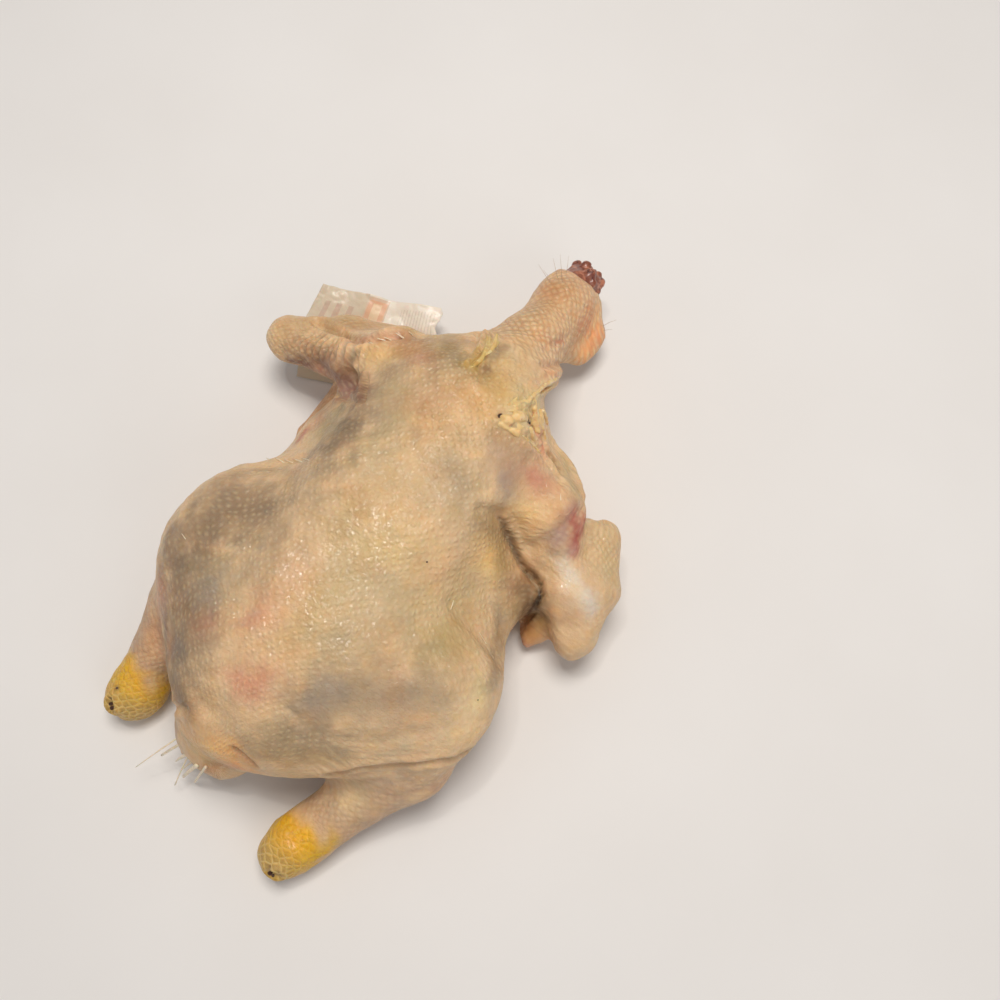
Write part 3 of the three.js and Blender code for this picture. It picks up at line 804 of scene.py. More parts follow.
# %% [markdown]
# A second round of patches lays no colour of its own. It only darkens, brightens or warms what is
# there, channel by channel, as thin glazes would: the shade of deeper folds, fat that shows
# yellower, and skin that is drawn tight over bone. Many of the darkening ones are painted shade:
# along the bird's left side and the waist's edge, in the crevice under the right wing, in the web
# under the left wing, and a painted shadow between the left drumstick and the thigh. One
# brightening one is a painted highlight on the right forearm's wet sheen.

# %% Glaze the skin


def tone(trail, factors, width):
    """Darkens or brightens a soft, ragged patch, channel by channel."""
    reach = np.maximum(width * (1 + 0.5 * RAGGED), 0.3) * MM
    cover = fall(distance_to(points, trail), reach)[:, None]
    tint[:] = tint * (1 + (np.array(factors) - 1) * cover)


TONES = [  # spots in the photograph, red, green and blue factors, width in mm
    # painted shade along the bird's left side
    ([(178, 560), (175, 610), (178, 660), (181, 700)], (0.72, 0.72, 0.72), 8),
    ([(206, 516), (205, 560), (205, 610), (203, 650)], (0.86, 0.86, 0.86), 9),
    ([(250, 530), (300, 512), (332, 512)], (0.8, 0.81, 0.83), 11),
    ([(372, 470), (420, 480), (462, 500), (450, 450)], (0.83, 0.88, 0.93), 16),
    # painted shade in the crevice under the right wing
    ([(482, 520), (503, 542), (503, 560)], (0.66, 0.66, 0.62), 7),
    ([(540, 600), (536, 614)], (0.5, 0.46, 0.42), 6),
    ([(518, 596), (516, 620)], (0.72, 0.7, 0.62), 6),
    ([(444, 335), (450, 368), (472, 372), (446, 396)], (0.76, 0.77, 0.74), 9),
    ([(508, 330), (530, 312), (560, 283)], (0.78, 0.77, 0.74), 8),
    ([(296, 322), (340, 320), (378, 324)], (0.82, 0.8, 0.74), 6),
    ([(322, 405), (335, 428), (320, 446)], (0.66, 0.67, 0.68), 8),
    ([(345, 404), (352, 420)], (0.8, 0.8, 0.8), 6),
    # painted shade in the web under the left wing
    ([(352, 380), (358, 398)], (0.68, 0.68, 0.7), 5),
    ([(324, 362), (338, 376)], (0.85, 0.84, 0.86), 5),
    ([(256, 750), (300, 752), (330, 757)], (0.83, 0.83, 0.8), 7),
    ([(420, 568), (446, 584), (492, 590)], (1.1, 1.09, 1.08), 13),
    ([(494, 590), (504, 604)], (1.12, 1.1, 1.08), 6),
    ([(190, 740), (222, 750)], (1.14, 1.09, 0.98), 8),
    ([(598, 304), (596, 330), (588, 350)], (1.12, 1.08, 0.97), 7),
    ([(500, 385), (520, 396), (498, 366)], (0.9, 0.9, 0.78), 12),
    ([(520, 420), (536, 410)], (0.96, 0.97, 0.84), 10),
    ([(456, 740), (476, 732)], (1.22, 1.2, 1.08), 8),
    ([(488, 556), (492, 566)], (1.17, 1.15, 1.0), 6),
    ([(504, 596), (507, 606)], (1.22, 1.22, 1.15), 4),
    ([(314, 346), (330, 349)], (0.84, 0.84, 0.8), 5),
    ([(396, 324), (410, 328)], (0.9, 0.86, 0.68), 4),
    ([(180, 610), (168, 640), (190, 690), (195, 720)], (0.86, 0.84, 0.82), 7),
    ([(205, 622), (230, 520)], (0.9, 0.9, 0.91), 9),
    ([(320, 600), (270, 560)], (0.93, 0.94, 0.94), 14),
    ([(345, 560), (352, 540)], (0.92, 0.95, 0.96), 10),
    ([(270, 735), (285, 738)], (0.88, 0.89, 0.86), 7),
    ([(398, 740), (408, 738)], (0.88, 0.92, 0.92), 8),
    ([(500, 380), (482, 398)], (0.96, 0.93, 0.84), 8),
    ([(458, 388), (466, 396)], (1.1, 1.08, 0.98), 8),
    ([(560, 290), (566, 300)], (0.97, 0.92, 0.86), 7),
    ([(507, 490), (512, 480)], (1.1, 1.14, 1.1), 6),
    # painted highlight on the right forearm's wet sheen
    ([(560, 568), (585, 598)], (1.1, 1.13, 1.1), 6),
    ([(566, 520), (570, 512)], (1.1, 1.1, 1.1), 5),
    ([(370, 602), (380, 592)], (1.0, 1.04, 1.14), 10),
    ([(530, 632), (536, 622)], (1.0, 0.96, 0.68), 7),
    ([(598, 306), (588, 348)], (1.09, 1.1, 1.04), 7),
    ([(250, 625), (205, 622), (180, 610)], (0.92, 0.86, 0.8), 8),
    ([(168, 636), (170, 650)], (0.93, 0.74, 0.66), 6),
    ([(230, 520), (245, 512)], (0.9, 0.89, 0.88), 9),
    ([(250, 680), (256, 690)], (0.94, 0.89, 0.9), 7),
    ([(455, 640), (440, 650)], (0.93, 0.93, 0.82), 9),
    ([(320, 600), (290, 640)], (0.96, 0.96, 0.84), 9),
    ([(490, 560), (494, 575)], (1.07, 1.12, 1.07), 7),
    ([(505, 592), (505, 608)], (1.12, 1.18, 1.2), 6),
    ([(480, 690), (476, 700)], (1.08, 1.15, 1.04), 7),
    ([(210, 750), (220, 756)], (1.11, 1.12, 0.96), 7),
    ([(234, 763), (242, 767)], (1.16, 1.02, 0.72), 6),
    ([(350, 802), (360, 796)], (1.09, 1.11, 0.99), 7),
    ([(155, 620), (148, 650)], (1.08, 1.0, 0.8), 6),
    ([(540, 320), (520, 345), (560, 290)], (0.99, 0.94, 0.83), 8),
    ([(580, 346), (580, 354)], (1.07, 1.2, 1.15), 5),
    ([(500, 380), (496, 388)], (0.94, 0.89, 0.76), 7),
    ([(480, 355), (370, 355)], (1.07, 1.01, 0.79), 6),
    ([(520, 475), (537, 480)], (0.91, 0.87, 0.88), 8),
    ([(530, 510), (507, 492)], (1.07, 1.11, 1.09), 6),
    ([(280, 335), (320, 345)], (0.91, 0.88, 0.78), 7),
    ([(400, 325), (408, 329)], (0.92, 0.86, 0.66), 6),
    ([(350, 325), (362, 324)], (1.0, 0.94, 0.8), 6),
    ([(415, 352), (408, 354)], (0.91, 0.91, 0.79), 6),
    ([(390, 390), (384, 396)], (1.08, 1.15, 1.1), 7),
    ([(330, 430), (336, 440)], (0.8, 0.84, 0.82), 8),
    ([(440, 350), (446, 346)], (1.03, 1.0, 0.87), 7),
    ([(420, 372), (444, 376)], (0.92, 0.92, 0.92), 8),
    ([(420, 420), (440, 424)], (0.99, 0.94, 0.85), 10),
    ([(488, 412), (492, 424)], (0.95, 0.89, 0.78), 6),
    ([(468, 448), (492, 470), (492, 492)], (1.08, 1.09, 1.08), 8),
    # painted shade along the waist's edge
    ([(234, 475), (252, 470), (270, 470)], (0.78, 0.78, 0.78), 4.5),
    ([(208, 492), (196, 502)], (0.82, 0.82, 0.84), 5),
    ([(372, 492), (396, 492)], (0.95, 0.92, 0.85), 11),
    ([(350, 520), (372, 545), (396, 545)], (1.03, 1.02, 0.91), 14),
    ([(252, 564), (248, 570)], (0.92, 0.92, 0.94), 7),
    ([(396, 564), (388, 570)], (1.07, 1.07, 1.09), 8),
    # painted shade in the crevice under the right wing
    ([(510, 536), (518, 560), (530, 576)], (0.72, 0.72, 0.74), 3.5),
    ([(538, 584), (540, 600)], (0.6, 0.6, 0.6), 4),
    # painted shadow between the left drumstick and the thigh
    ([(162, 672), (164, 688), (162, 700)], (0.66, 0.64, 0.62), 4.5),
    ([(200, 754), (212, 764)], (1.04, 1.0, 0.78), 7),
    ([(252, 757), (300, 759), (324, 761)], (0.95, 0.91, 0.82), 5.5),
]
for spots, factors, width in TONES:
    tone(on_photo(*spots), factors, width)
paint(on_photo((299, 440), (304, 433)), ROSE_RED, 0.7, 4)
paint(on_photo((514, 652), (524, 648)), ROSE_RED, 0.35, 5)
# The ribs' crests are tinted lighter and their troughs darker.
tint += (rib_wave * 0.35)[:, None] * np.array(CREAM) * tint
print(len(TONES), "glazes laid")

# %% [markdown]
# Where a patch of follicles is strong or faint, where the skin is wet and where the hocks' horny
# scales begin is painted the same way, as plain numbers instead of colours.

# %% Paint follicles, wetness and scales


def amount(spots, width, strength=1.0):
    """A soft patch along a trail, as strong as given on it; the width is in mm."""
    return strength * fall(distance_to(points, spots), width * MM)


def soft(value, low, high):
    """0 below low, 1 above high, smooth between."""
    t = np.clip((value - low) / (high - low), 0, 1)
    return t * t * (3 - 2 * t)


def hock_share():
    """1 on the horny skin of the two hocks, which ends in a ragged line 95 to 102 mm down the legs."""
    bird = (points - np.array(SPINE)) / MM
    ragged = swelling(8, 7, 21) / MM
    right = soft(-(bird[:, 1] + 102 + ragged), -6, 6) * soft(bird[:, 0], 10, 20)
    upper = soft(bird[:, 2] - bird[:, 0] * 0.75 + 33 + ragged, 0, 7)
    left = soft(-(bird[:, 1] + 95 + ragged), -6, 6) * soft(-bird[:, 0], 36, 42)
    return np.clip(right * (0.08 + 0.92 * upper) + left, 0, 1)


def cover_with(colour, cover):
    tint[:] = tint * (1 - cover[:, None]) + np.array(colour) * cover[:, None]


HORN_PLACES = ([(276, 872), (262, 858)], [(111, 704), (118, 712), (140, 716)])
YELLOW_PLACES = ([(303, 832), (296, 844)], [(131, 662), (140, 676)])
hocks = hock_share()
cover_with(HOCK, hocks)
horn = np.zeros(len(points))
for spots in HORN_PLACES:
    horn = np.maximum(horn, hocks * amount(on_photo(*spots), 11))
cover_with(HORN, 0.85 * horn)
for spots in YELLOW_PLACES:
    cover_with(YELLOW, 0.6 * hocks * amount(on_photo(*spots), 6))
for pixel, depth, width in HOCK_PITS:
    paint(on_photo(pixel), SOCKET, 0.93, width * 0.95)
# painted shade inside the torn holes
for spots, depth, width in TORN_HOLES:
    paint(on_photo(*spots), HOLE_SHADE, 0.8, width)

bird_y = (points[:, 1] - SPINE.y) / MM
limb_share = np.clip(
    soft(bird_y, 112, 134)
    + soft(-bird_y, 52, 70) * soft(np.abs(points[:, 0] - SPINE.x) / MM, 38, 46)
    + soft(np.abs(points[:, 0] - SPINE.x) / MM, 58, 70) * soft(bird_y, 40, 60),
    0,
    1,
)
smooth_skin = np.clip(
    amount(on_photo((505, 470), (515, 490)), 13)
    + amount(on_photo((335, 700), (400, 700)), 20, 0.7)
    + amount(on_photo((560, 590), (590, 600)), 16, 0.8)
    + amount(on_photo((390, 400)), 16, 0.7)
    + amount(on_photo((420, 740), (470, 720)), 16, 0.5),
    0,
    1,
)
rough_parts = 0.85 * soft(bird_y, 112, 135) + 0.15 * soft(-bird_y, 52, 70)
legs = soft(-bird_y, 60, 76)
shoulders = amount(on_photo((430, 420), (470, 400)), 26, 0.35)
domes = np.clip(0.45 + 0.55 * rough_parts - 0.18 * legs + shoulders, 0, 1)
domes = domes * (1 - 0.9 * smooth_skin) * (1 - hocks)
wet = np.clip(
    0.3
    + amount(on_photo((588, 594), (592, 608)), 5)
    + amount(on_photo((562, 560), (572, 578)), 6)
    + amount(on_photo((272, 562), (280, 590), (264, 622)), 10)
    + amount(on_photo((225, 577), (239, 594)), 6, 0.8)
    + amount(on_photo((505, 490)), 6)
    + amount(on_photo((350, 545), (372, 530), (384, 552)), 9)
    + amount(on_photo((470, 596), (480, 640)), 7, 0.7)
    + amount(on_photo((300, 600), (345, 640)), 12, 0.5)
    + amount(on_photo((215, 560), (240, 640)), 14, 0.4)
    + amount(on_photo((131, 668), (124, 690)), 6, 0.6)
    + amount(on_photo((300, 840), (290, 860)), 6, 0.6),
    0,
    1,
)


def point_colours(obj, name, red, green=None, blue=None):
    """Stores numbers or a colour on the mesh's points."""
    columns = red if green is None else np.stack([red, green, blue], axis=1)
    columns = np.concatenate([columns, np.ones((len(columns), 1))], axis=1)
    made = obj.data.attributes.new(name, "FLOAT_COLOR", "POINT")
    made.data.foreach_set("color", columns.astype(np.float32).ravel())


point_colours(skin, "tint", tint)
point_colours(skin, "relief", domes, hocks, wet)
point_colours(skin, "parts", limb_share, smooth_skin, horn)
print("mean tint", np.round(tint.mean(0), 3))

# %% [markdown]
# ## The skin's material
#
# Light goes a few millimetres into raw skin and comes out reddish, so the material scatters
# below its surface. Over that lies a thin wet coat. The relief is built from three layers: domes
# in staggered rows for the follicles, flat horny scales on the hocks, and fine wrinkles
# everywhere. Each dome is a touch paler and yellower than the skin between, and carries a dark
# pore, as the photograph shows. Domes this small could be sculpted, but would need millions of
# faces; as relief in the material they cost none.

# %% Make the skin's material
FOLLICLE_ROWS = 1 / (3.2 * MM)  # rows per metre
SCALE_ROWS = 1 / (3.1 * MM)
WRINKLES = (420, 900, 1)  # per metre, around the trunk and along it
DOME_HEIGHT = 0.8  # the heights are in mm
SCALE_HEIGHT = 0.3
WRINKLE_HEIGHT = 0.3
FINE_HEIGHT = 0.3
LUMP_HEIGHT = 0.4
WATER_HEIGHT = 0.8
CLOUDS = [  # cloud's size in mm, start and end of its edge, strength, colour factors
    (11, 0.42, 0.62, 0.25, (0.92, 0.87, 0.74)),
    (13, 0.48, 0.66, 0.45, (0.8, 0.83, 0.88)),
    (21, 0.5, 0.68, 0.4, (1.0, 0.84, 0.8)),
    (7, 0.5, 0.68, 0.4, (1.04, 0.98, 0.8)),
    (2.6, 0.45, 0.65, 0.22, (0.86, 0.72, 0.58)),
]
DOME_TINT = linear(244, 220, 172)
PORE_TINT = (0.35, 0.2, 0.11)
SCALE_FRECKLE = linear(190, 140, 40)
SCALE_CRACK = linear(206, 146, 30)
HORN_MIDDLE = linear(162, 130, 80)
HORN_CRACK = linear(226, 202, 140)
# dark spots: dried blood in the hocks' sockets and the specks, painted shade inside the torn holes
BLOOD_AND_HOLE_SHADE = linear(62, 26, 16)
DARK_SPOTS = [  # torn holes, hocks' sockets, two specks: spot in the photograph, radius in mm
    ((500, 416), 1.5),
    ((526.5, 418.5), 0.8),
    ((528, 420.8), 0.8),
    ((529.4, 423), 0.7),
    ((270, 873), 1.3),
    ((273, 875.5), 0.9),
    ((111, 704), 1.2),
    ((112, 708), 1.2),
    ((117, 688), 0.6),
    ((427, 562), 0.5),
    ((478, 700), 0.4),
]


def lattice(node, rows, spacing, looseness, feature="F1"):
    """Distance from the nearest of the points of a staggered, slightly loose lattice."""
    turned = node("Mapping", Vector=rows, Rotation=(0, 0, math.radians(45)), Scale=(spacing,) * 3)
    cells = node("TexVoronoi", voronoi_dimensions="2D", feature=feature, Vector=turned.outputs[0])
    cells.inputs["Scale"].default_value = 1
    cells.inputs["Randomness"].default_value = looseness
    return cells


def skin_material():
    material, tree, shader, node, maths, mix = new_material("raw_skin")
    place = node("TexCoord").outputs["Object"]
    tint = node("Attribute", attribute_name="tint").outputs["Color"]
    relief = node("SeparateColor", Color=node("Attribute", attribute_name="relief").outputs["Color"])
    parts = node("SeparateColor", Color=node("Attribute", attribute_name="parts").outputs["Color"])
    domes, scales, wet = relief.outputs
    limb, _, horn = parts.outputs

    def noise_of(size, detail=3.0, roughness=0.5):
        made = node("TexNoise", Vector=place, Scale=1 / (size * MM), Detail=detail, Roughness=roughness)
        return made.outputs["Fac"]

    # Rows are nudged by noise, so that they wander a little.
    nudge = node("TexNoise", Vector=place, Scale=1 / (14 * MM), Detail=2.0).outputs["Color"]
    nudge = node("VectorMath", operation="SCALE", Vector=nudge, Scale=5 * MM).outputs[0]

    def rows_of(name):
        rows = node("Attribute", attribute_name=name).outputs["Vector"]
        moved = node("VectorMath", operation="ADD")
        tree.links.new(rows, moved.inputs[0])
        tree.links.new(nudge, moved.inputs[1])
        return moved.outputs[0]

    trunk_rows, limb_rows = rows_of("trunk_rows"), rows_of("limb_rows")
    trunk_cells = lattice(node, trunk_rows, FOLLICLE_ROWS, 0.35).outputs["Distance"]
    limb_cells = lattice(node, limb_rows, FOLLICLE_ROWS, 0.35).outputs["Distance"]
    far = node("Mix", data_type="FLOAT")
    tree.links.new(limb, far.inputs[0])
    tree.links.new(trunk_cells, far.inputs[2])
    tree.links.new(limb_cells, far.inputs[3])
    distance = far.outputs[0]

    def ramp(value, low, high, start=0.0, end=1.0):
        made = node("MapRange", interpolation_type="SMOOTHSTEP")
        made.clamp = True
        tree.links.new(value, made.inputs[0])
        for socket, number in zip(made.inputs[1:5], (low, high, start, end)):
            socket.default_value = number
        return made.outputs[0]

    patchy = ramp(noise_of(17), 0.35, 0.6, 0.45, 1.0)
    pebbles = ramp(distance, 0.05, 0.6, 1.0, 0.0)
    bumps = ramp(distance, 0.0, 0.46, 1.0, 0.0)
    packed = node("Mix", data_type="FLOAT")
    tree.links.new(limb, packed.inputs[0])
    tree.links.new(bumps, packed.inputs[2])
    tree.links.new(pebbles, packed.inputs[3])
    dome = maths("MULTIPLY", packed.outputs[0], maths("MULTIPLY", domes, patchy))
    pore = maths("MULTIPLY", ramp(distance, 0.05, 0.16, 1.0, 0.0), ramp(noise_of(6), 0.42, 0.6))

    squeezed = node("Mapping", Vector=limb_rows, Scale=(0.66, 1.0, 1)).outputs[0]
    edges = lattice(node, squeezed, SCALE_ROWS, 0.6, "DISTANCE_TO_EDGE").outputs["Distance"]
    scale = maths("MULTIPLY", ramp(edges, 0.0, 0.3), scales)

    wrinkle_rows = node("Mapping", Vector=trunk_rows, Scale=WRINKLES).outputs[0]
    wrinkles = node("TexNoise", Vector=wrinkle_rows, Scale=1.0, Detail=4.0, Roughness=0.6)

    def share(value, most):
        return maths("MULTIPLY", value, most)

    def relief_of(socket, *layers):
        """Adds up layers of relief and feeds them to the shader as one bump."""
        height = share(*layers[0])
        for layer in layers[1:]:
            height = maths("ADD", height, share(*layer))
        bump = node("Bump", Height=height, Distance=MM, Strength=1.0)
        tree.links.new(bump.outputs[0], shader.inputs[socket])

    relief_of(
        "Normal",
        (dome, DOME_HEIGHT),
        (scale, SCALE_HEIGHT),
        (wrinkles.outputs["Fac"], WRINKLE_HEIGHT),
        (noise_of(0.9, 3.0, 0.6), FINE_HEIGHT),
        (noise_of(3.2), LUMP_HEIGHT),
    )
    # Water fills the finest wrinkles, so the wet coat is smoother than the skin.
    relief_of("Coat Normal", (dome, DOME_HEIGHT), (noise_of(1.8, 2.0), WATER_HEIGHT))

    colour = tint
    for size, low, high, most, factors in CLOUDS:
        colour = mix(share(ramp(noise_of(size), low, high), most), colour, factors, "MULTIPLY")
    valley = maths("MULTIPLY", ramp(distance, 0.3, 0.62), maths("MULTIPLY", limb, domes))
    colour = mix(share(valley, 0.2), colour, (0.8, 0.66, 0.6), "MULTIPLY")
    colour = mix(share(dome, 0.42), colour, DOME_TINT)
    colour = mix(share(maths("MULTIPLY", pore, domes), 0.16), colour, PORE_TINT)
    freckles = maths("MULTIPLY", ramp(noise_of(1.6), 0.5, 0.66), scales)
    colour = mix(share(freckles, 0.3), colour, SCALE_FRECKLE)
    crack = maths("MULTIPLY", ramp(edges, 0.0, 0.2, 1.0, 0.0), scales)
    colour = mix(share(crack, 0.14), colour, SCALE_CRACK)
    middles = maths("MULTIPLY", ramp(edges, 0.14, 0.4), horn)
    colour = mix(share(middles, 0.45), colour, HORN_MIDDLE)
    colour = mix(share(maths("MULTIPLY", crack, horn), 0.5), colour, HORN_CRACK)
    # dark spots: painted shade in the torn holes, dried blood in the sockets and specks
    for pixel, radius in DARK_SPOTS:
        off = node("VectorMath", operation="DISTANCE")
        tree.links.new(place, off.inputs[0])
        off.inputs[1].default_value = seen(*pixel)
        spot = ramp(off.outputs["Value"], 0.75 * radius * MM, 1.1 * radius * MM, 1.0, 0.0)
        colour = mix(share(spot, 0.95), colour, BLOOD_AND_HOLE_SHADE)
    tree.links.new(colour, shader.inputs["Base Color"])

    rough = maths("ADD", 0.42, share(noise_of(5), 0.24))
    tree.links.new(rough, shader.inputs["Roughness"])
    tree.links.new(maths("MULTIPLY", ramp(noise_of(4), 0.4, 0.6), wet), shader.inputs["Coat Weight"])
    shader.inputs["Specular IOR Level"].default_value = 0.45
    shader.inputs["Subsurface Weight"].default_value = 0.35
    shader.inputs["Subsurface Radius"].default_value = (1.0, 0.42, 0.2)
    shader.inputs["Subsurface Scale"].default_value = 4 * MM
    shader.inputs["Coat Roughness"].default_value = 0.05
    shader.inputs["Coat IOR"].default_value = 1.6
    return material


raw_skin = skin_material()
print("skin material has", len(raw_skin.node_tree.nodes), "nodes")

# %% [markdown]
# ## Strands
#
# Quills, hairs and cords of fat are all thin tapering tubes. Each is drawn as a curve along a
# few points with a radius at every point, and turned into a closed mesh. A cylinder could be
# extruded ring by ring, but a curve makes its own bends round.

# %% A tool for strands


def strand(name, spots, radii, sides=2, wobble=0.0, seed=0):
    """A closed tube through the spots, in metres, with a radius at each of them, in mm."""
    draw = random.Random(seed)
    curve = bpy.data.curves.new(name, "CURVE")
    curve.dimensions = "3D"
    curve.bevel_depth = 1.0
    curve.bevel_resolution = sides
    curve.use_fill_caps = True
    line = curve.splines.new("NURBS")
    line.points.add(len(spots) - 1)
    line.use_endpoint_u = True
    line.order_u = min(3, len(spots))
    line.resolution_u = 4
    for point, spot, radius in zip(line.points, spots, radii):
        shift = Vector([draw.uniform(-wobble, wobble) * MM for _ in range(3)])
        point.co = (*(Vector(spot) + shift), 1)
        point.radius = radius * MM
    made = bpy.data.objects.new(name, curve)
    bpy.context.collection.objects.link(made)
    only(made)
    bpy.ops.object.convert(target="MESH")
    made = bpy.context.object
    mend(made, merge=0.001)
    bpy.ops.object.shade_smooth()
    return made


def at_height(px, py, height):
    """The point on a pixel's line of sight that lies at a height in mm above the floor."""
    way = line_of_sight(px, py)
    return CAMERA_PLACE + way * ((height * MM - CAMERA_PLACE.z) / way.z)


def skin_normal(spot):
    return sight.find_nearest(spot)[1]


def lifted(spots, height):
    """Spots raised off the skin by a height in mm."""
    return [spot + skin_normal(spot) * height * MM for spot in spots]


def shade(obj, material, slot=None):
    """Gives a piece its one material and ties it to the bird."""
    obj.data.materials.clear()
    obj.data.materials.append(material)
    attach(obj, "root")


# %% [markdown]
# ## Torn fat
#
# Where the crop was pulled out, in front of the right shoulder, the skin is torn and cords and
# lobules of cream-coloured fat hang over the edge. Each cord or lobule is a short strand, more or
# less sunk into the skin. Joined, remade as one net, smoothed and made a little lumpy, they run
# into each other like soft fat does. The thin yellow pleats at the neck's root are made the same
# way, finer and smoother.

# %% Make the fat
FAT_CORDS = [  # spots in the photograph, radius in mm, and how far it is sunk into the skin
    ([(502, 417), (506, 419), (510, 420), (514, 419)], 3.5, 1.0),
    ([(498, 424), (503, 426), (509, 428)], 2.2, 0.5),
    ([(513, 414), (518, 416), (524, 417), (527, 421)], 3.2, 1.4),
    ([(516, 426), (522, 427), (528, 429)], 2.8, 1.2),
    ([(535, 397), (535, 407), (535, 413), (536, 419), (537, 427), (539, 433)], 1.4, 0.0),
    ([(537, 412), (539, 420), (542, 427), (544, 433), (546, 440)], 1.1, 0.1),
    ([(526, 405), (528, 402), (535, 394), (539, 391), (545, 384), (554, 380), (559, 377)], 1.3, 0.4),
    ([(535, 400), (543, 392), (549, 389), (556, 384)], 1.2, 0.4),
    ([(525, 407), (531, 417), (533, 423), (537, 432)], 1.1, 0.1),
    ([(540, 409), (541, 416), (542, 424)], 1.9, 0.0),
    ([(542, 410), (545, 417), (547, 424)], 1.6, -0.3),
    ([(513, 431), (517, 434), (524, 436), (528, 440), (535, 447), (541, 455)], 1.2, 0.3),
    ([(511, 429), (515, 432), (520, 435)], 2.6, 0.6),
    ([(530, 427), (532, 433), (535, 440)], 2.7, 0.6),
    ([(508, 406), (513, 401), (518, 397)], 1.3, 0.4),
    ([(514, 406), (519, 402), (525, 400)], 1.4, 0.4),
    ([(509, 411), (516, 409), (523, 408)], 1.3, 0.4),
]
PLEATS = [
    ([(487, 335), (487, 343), (485, 351), (482, 357), (478, 361), (475, 365), (470, 368)], 0.9, 0.1),
    ([(490, 337), (490, 345), (489, 350), (486, 355), (483, 359), (478, 364), (474, 367)], 0.8, 0.1),
    ([(496, 334), (495, 342), (493, 349), (489, 354)], 1.2, 0.5),
    ([(501, 336), (499, 343), (495, 348)], 0.9, 0.4),
]


def make_cords(name, cords, net, lump):
    """Cords run together into one soft, lumpy piece."""
    draw = random.Random(4)
    parts = []
    for i, (spots, radius, sunk) in enumerate(cords):
        trail = lifted(on_photo(*spots), -sunk)
        radii = [radius * draw.uniform(0.75, 1.15) for _ in trail]
        radii[0] *= 0.7
        radii[-1] *= 0.6
        parts.append(strand(name, trail, radii, wobble=0.35 * lump, seed=i))
    made = join(name, parts)
    remake(made, net, 4)
    make_lumpy(made, 2.6, 0.45 * lump)
    return made


fat = make_cords("crop_fat", FAT_CORDS, 0.5, 1.0)
pleats = make_cords("neck_pleats", PLEATS, 0.35, 0.2)
print("fat:", len(fat.data.polygons), "faces, pleats:", len(pleats.data.polygons))

# %% [markdown]
# Fat, pleats and cut muscle are all wet flesh: light goes deep into them, and their colour
# wanders between a few tones without an edge. They could be tinted point by point like the skin,
# but pieces as small as these look right with soft clouds of noise. One function makes the
# material for all three, each with a ground colour and patches of its own.

# %% Make the fat's material


def flesh_material(name, ground, patches, size, roughness, scatter, bump_height, coat=0.3):
    """Wet flesh: a ground colour with patches of others, over fine lumps."""
    material, tree, shader, node, maths, mix = new_material(name)
    place = node("TexCoord").outputs["Object"]
    colour = ground
    for i, (patch, low, high) in enumerate(patches):
        field = node("TexNoise", Vector=place, Scale=(1.3**i) / (size * MM), Detail=3.0)
        edge = node("MapRange", interpolation_type="SMOOTHSTEP")
        tree.links.new(field.outputs["Fac"], edge.inputs[0])
        edge.inputs[1].default_value, edge.inputs[2].default_value = low, high
        colour = mix(edge.outputs[0], colour, patch)
    tree.links.new(colour, shader.inputs["Base Color"])
    lumps = node("TexNoise", Vector=place, Scale=1 / (0.22 * size * MM), Detail=4.0, Roughness=0.6)
    bump = node("Bump", Height=lumps.outputs["Fac"], Distance=bump_height * MM, Strength=1.0)
    tree.links.new(bump.outputs[0], shader.inputs["Normal"])
    shader.inputs["Roughness"].default_value = roughness
    shader.inputs["Subsurface Weight"].default_value = scatter
    shader.inputs["Subsurface Radius"].default_value = (1.0, 0.5, 0.3)
    shader.inputs["Subsurface Scale"].default_value = 3 * MM
    shader.inputs["Coat Weight"].default_value = coat
    shader.inputs["Coat Roughness"].default_value = 0.12
    return material


fat_patches = [
    (linear(218, 170, 104), 0.5, 0.7),
    (linear(240, 212, 162), 0.52, 0.7),
    (linear(216, 156, 116), 0.58, 0.74),
]
shade(fat, flesh_material("torn_fat", linear(232, 194, 132), fat_patches, 5, 0.4, 0.4, 0.4), "bird")
pleat_patches = [
    (linear(204, 158, 84), 0.5, 0.7),
    (linear(234, 204, 142), 0.52, 0.7),
]
shade(pleats, flesh_material("pleat_skin", linear(220, 182, 106), pleat_patches, 6, 0.4, 0.4, 0.2), "bird")
print("fat and pleats shaded")

# %% [markdown]
# ## The meat at the neck's cut
#
# The neck was cut through just behind the head. Its skin drew back, and the ends of the muscle
# bundles stand out around the neck bone, dark and wet. The solid's core is copied, given extra
# rounded bundle ends and remade as one fine net. It could be one lump with a bumpy material, but
# rounded ends that stand out catch the light as real ones do.

# %% Make the neck meat
MEAT_NET = 0.9  # mm
MEAT_ENDS = [  # spot in the photograph and radius in mm
    ((578, 262), 3.1),
    ((586, 266), 3.0),
    ((595, 265), 3.5),
    ((590, 274), 3.2),
    ((598, 274), 3.4),
    ((592, 283), 3.0),
    ((600, 284), 3.2),
    ((598, 292), 2.7),
]


def make_meat():
    meat = copy_of("neck_meat", "neck_cut_meat")
    meat_sight = surface_of(meat)
    draw = random.Random(8)
    parts = [meat]
    for (px, py), radius in MEAT_ENDS:
        way = line_of_sight(px, py)
        spot = meat_sight.ray_cast(CAMERA_PLACE, way)[0]
        if spot is None:
            spot = meat_sight.find_nearest(at_height(px, py, 30))[0]
        size = radius * draw.uniform(0.85, 1.1) * MM
        sunk = spot + way * 0.6 * MM
        bpy.ops.mesh.primitive_ico_sphere_add(subdivisions=3, radius=size, location=sunk)
        bpy.ops.transform.resize(value=(1, draw.uniform(1.0, 1.35), draw.uniform(0.8, 1.0)))
        parts.append(bpy.context.object)
    meat = join("neck_cut_meat", parts)
    remake(meat, MEAT_NET, 2)
    make_lumpy(meat, 3.4, 0.5)
    return meat


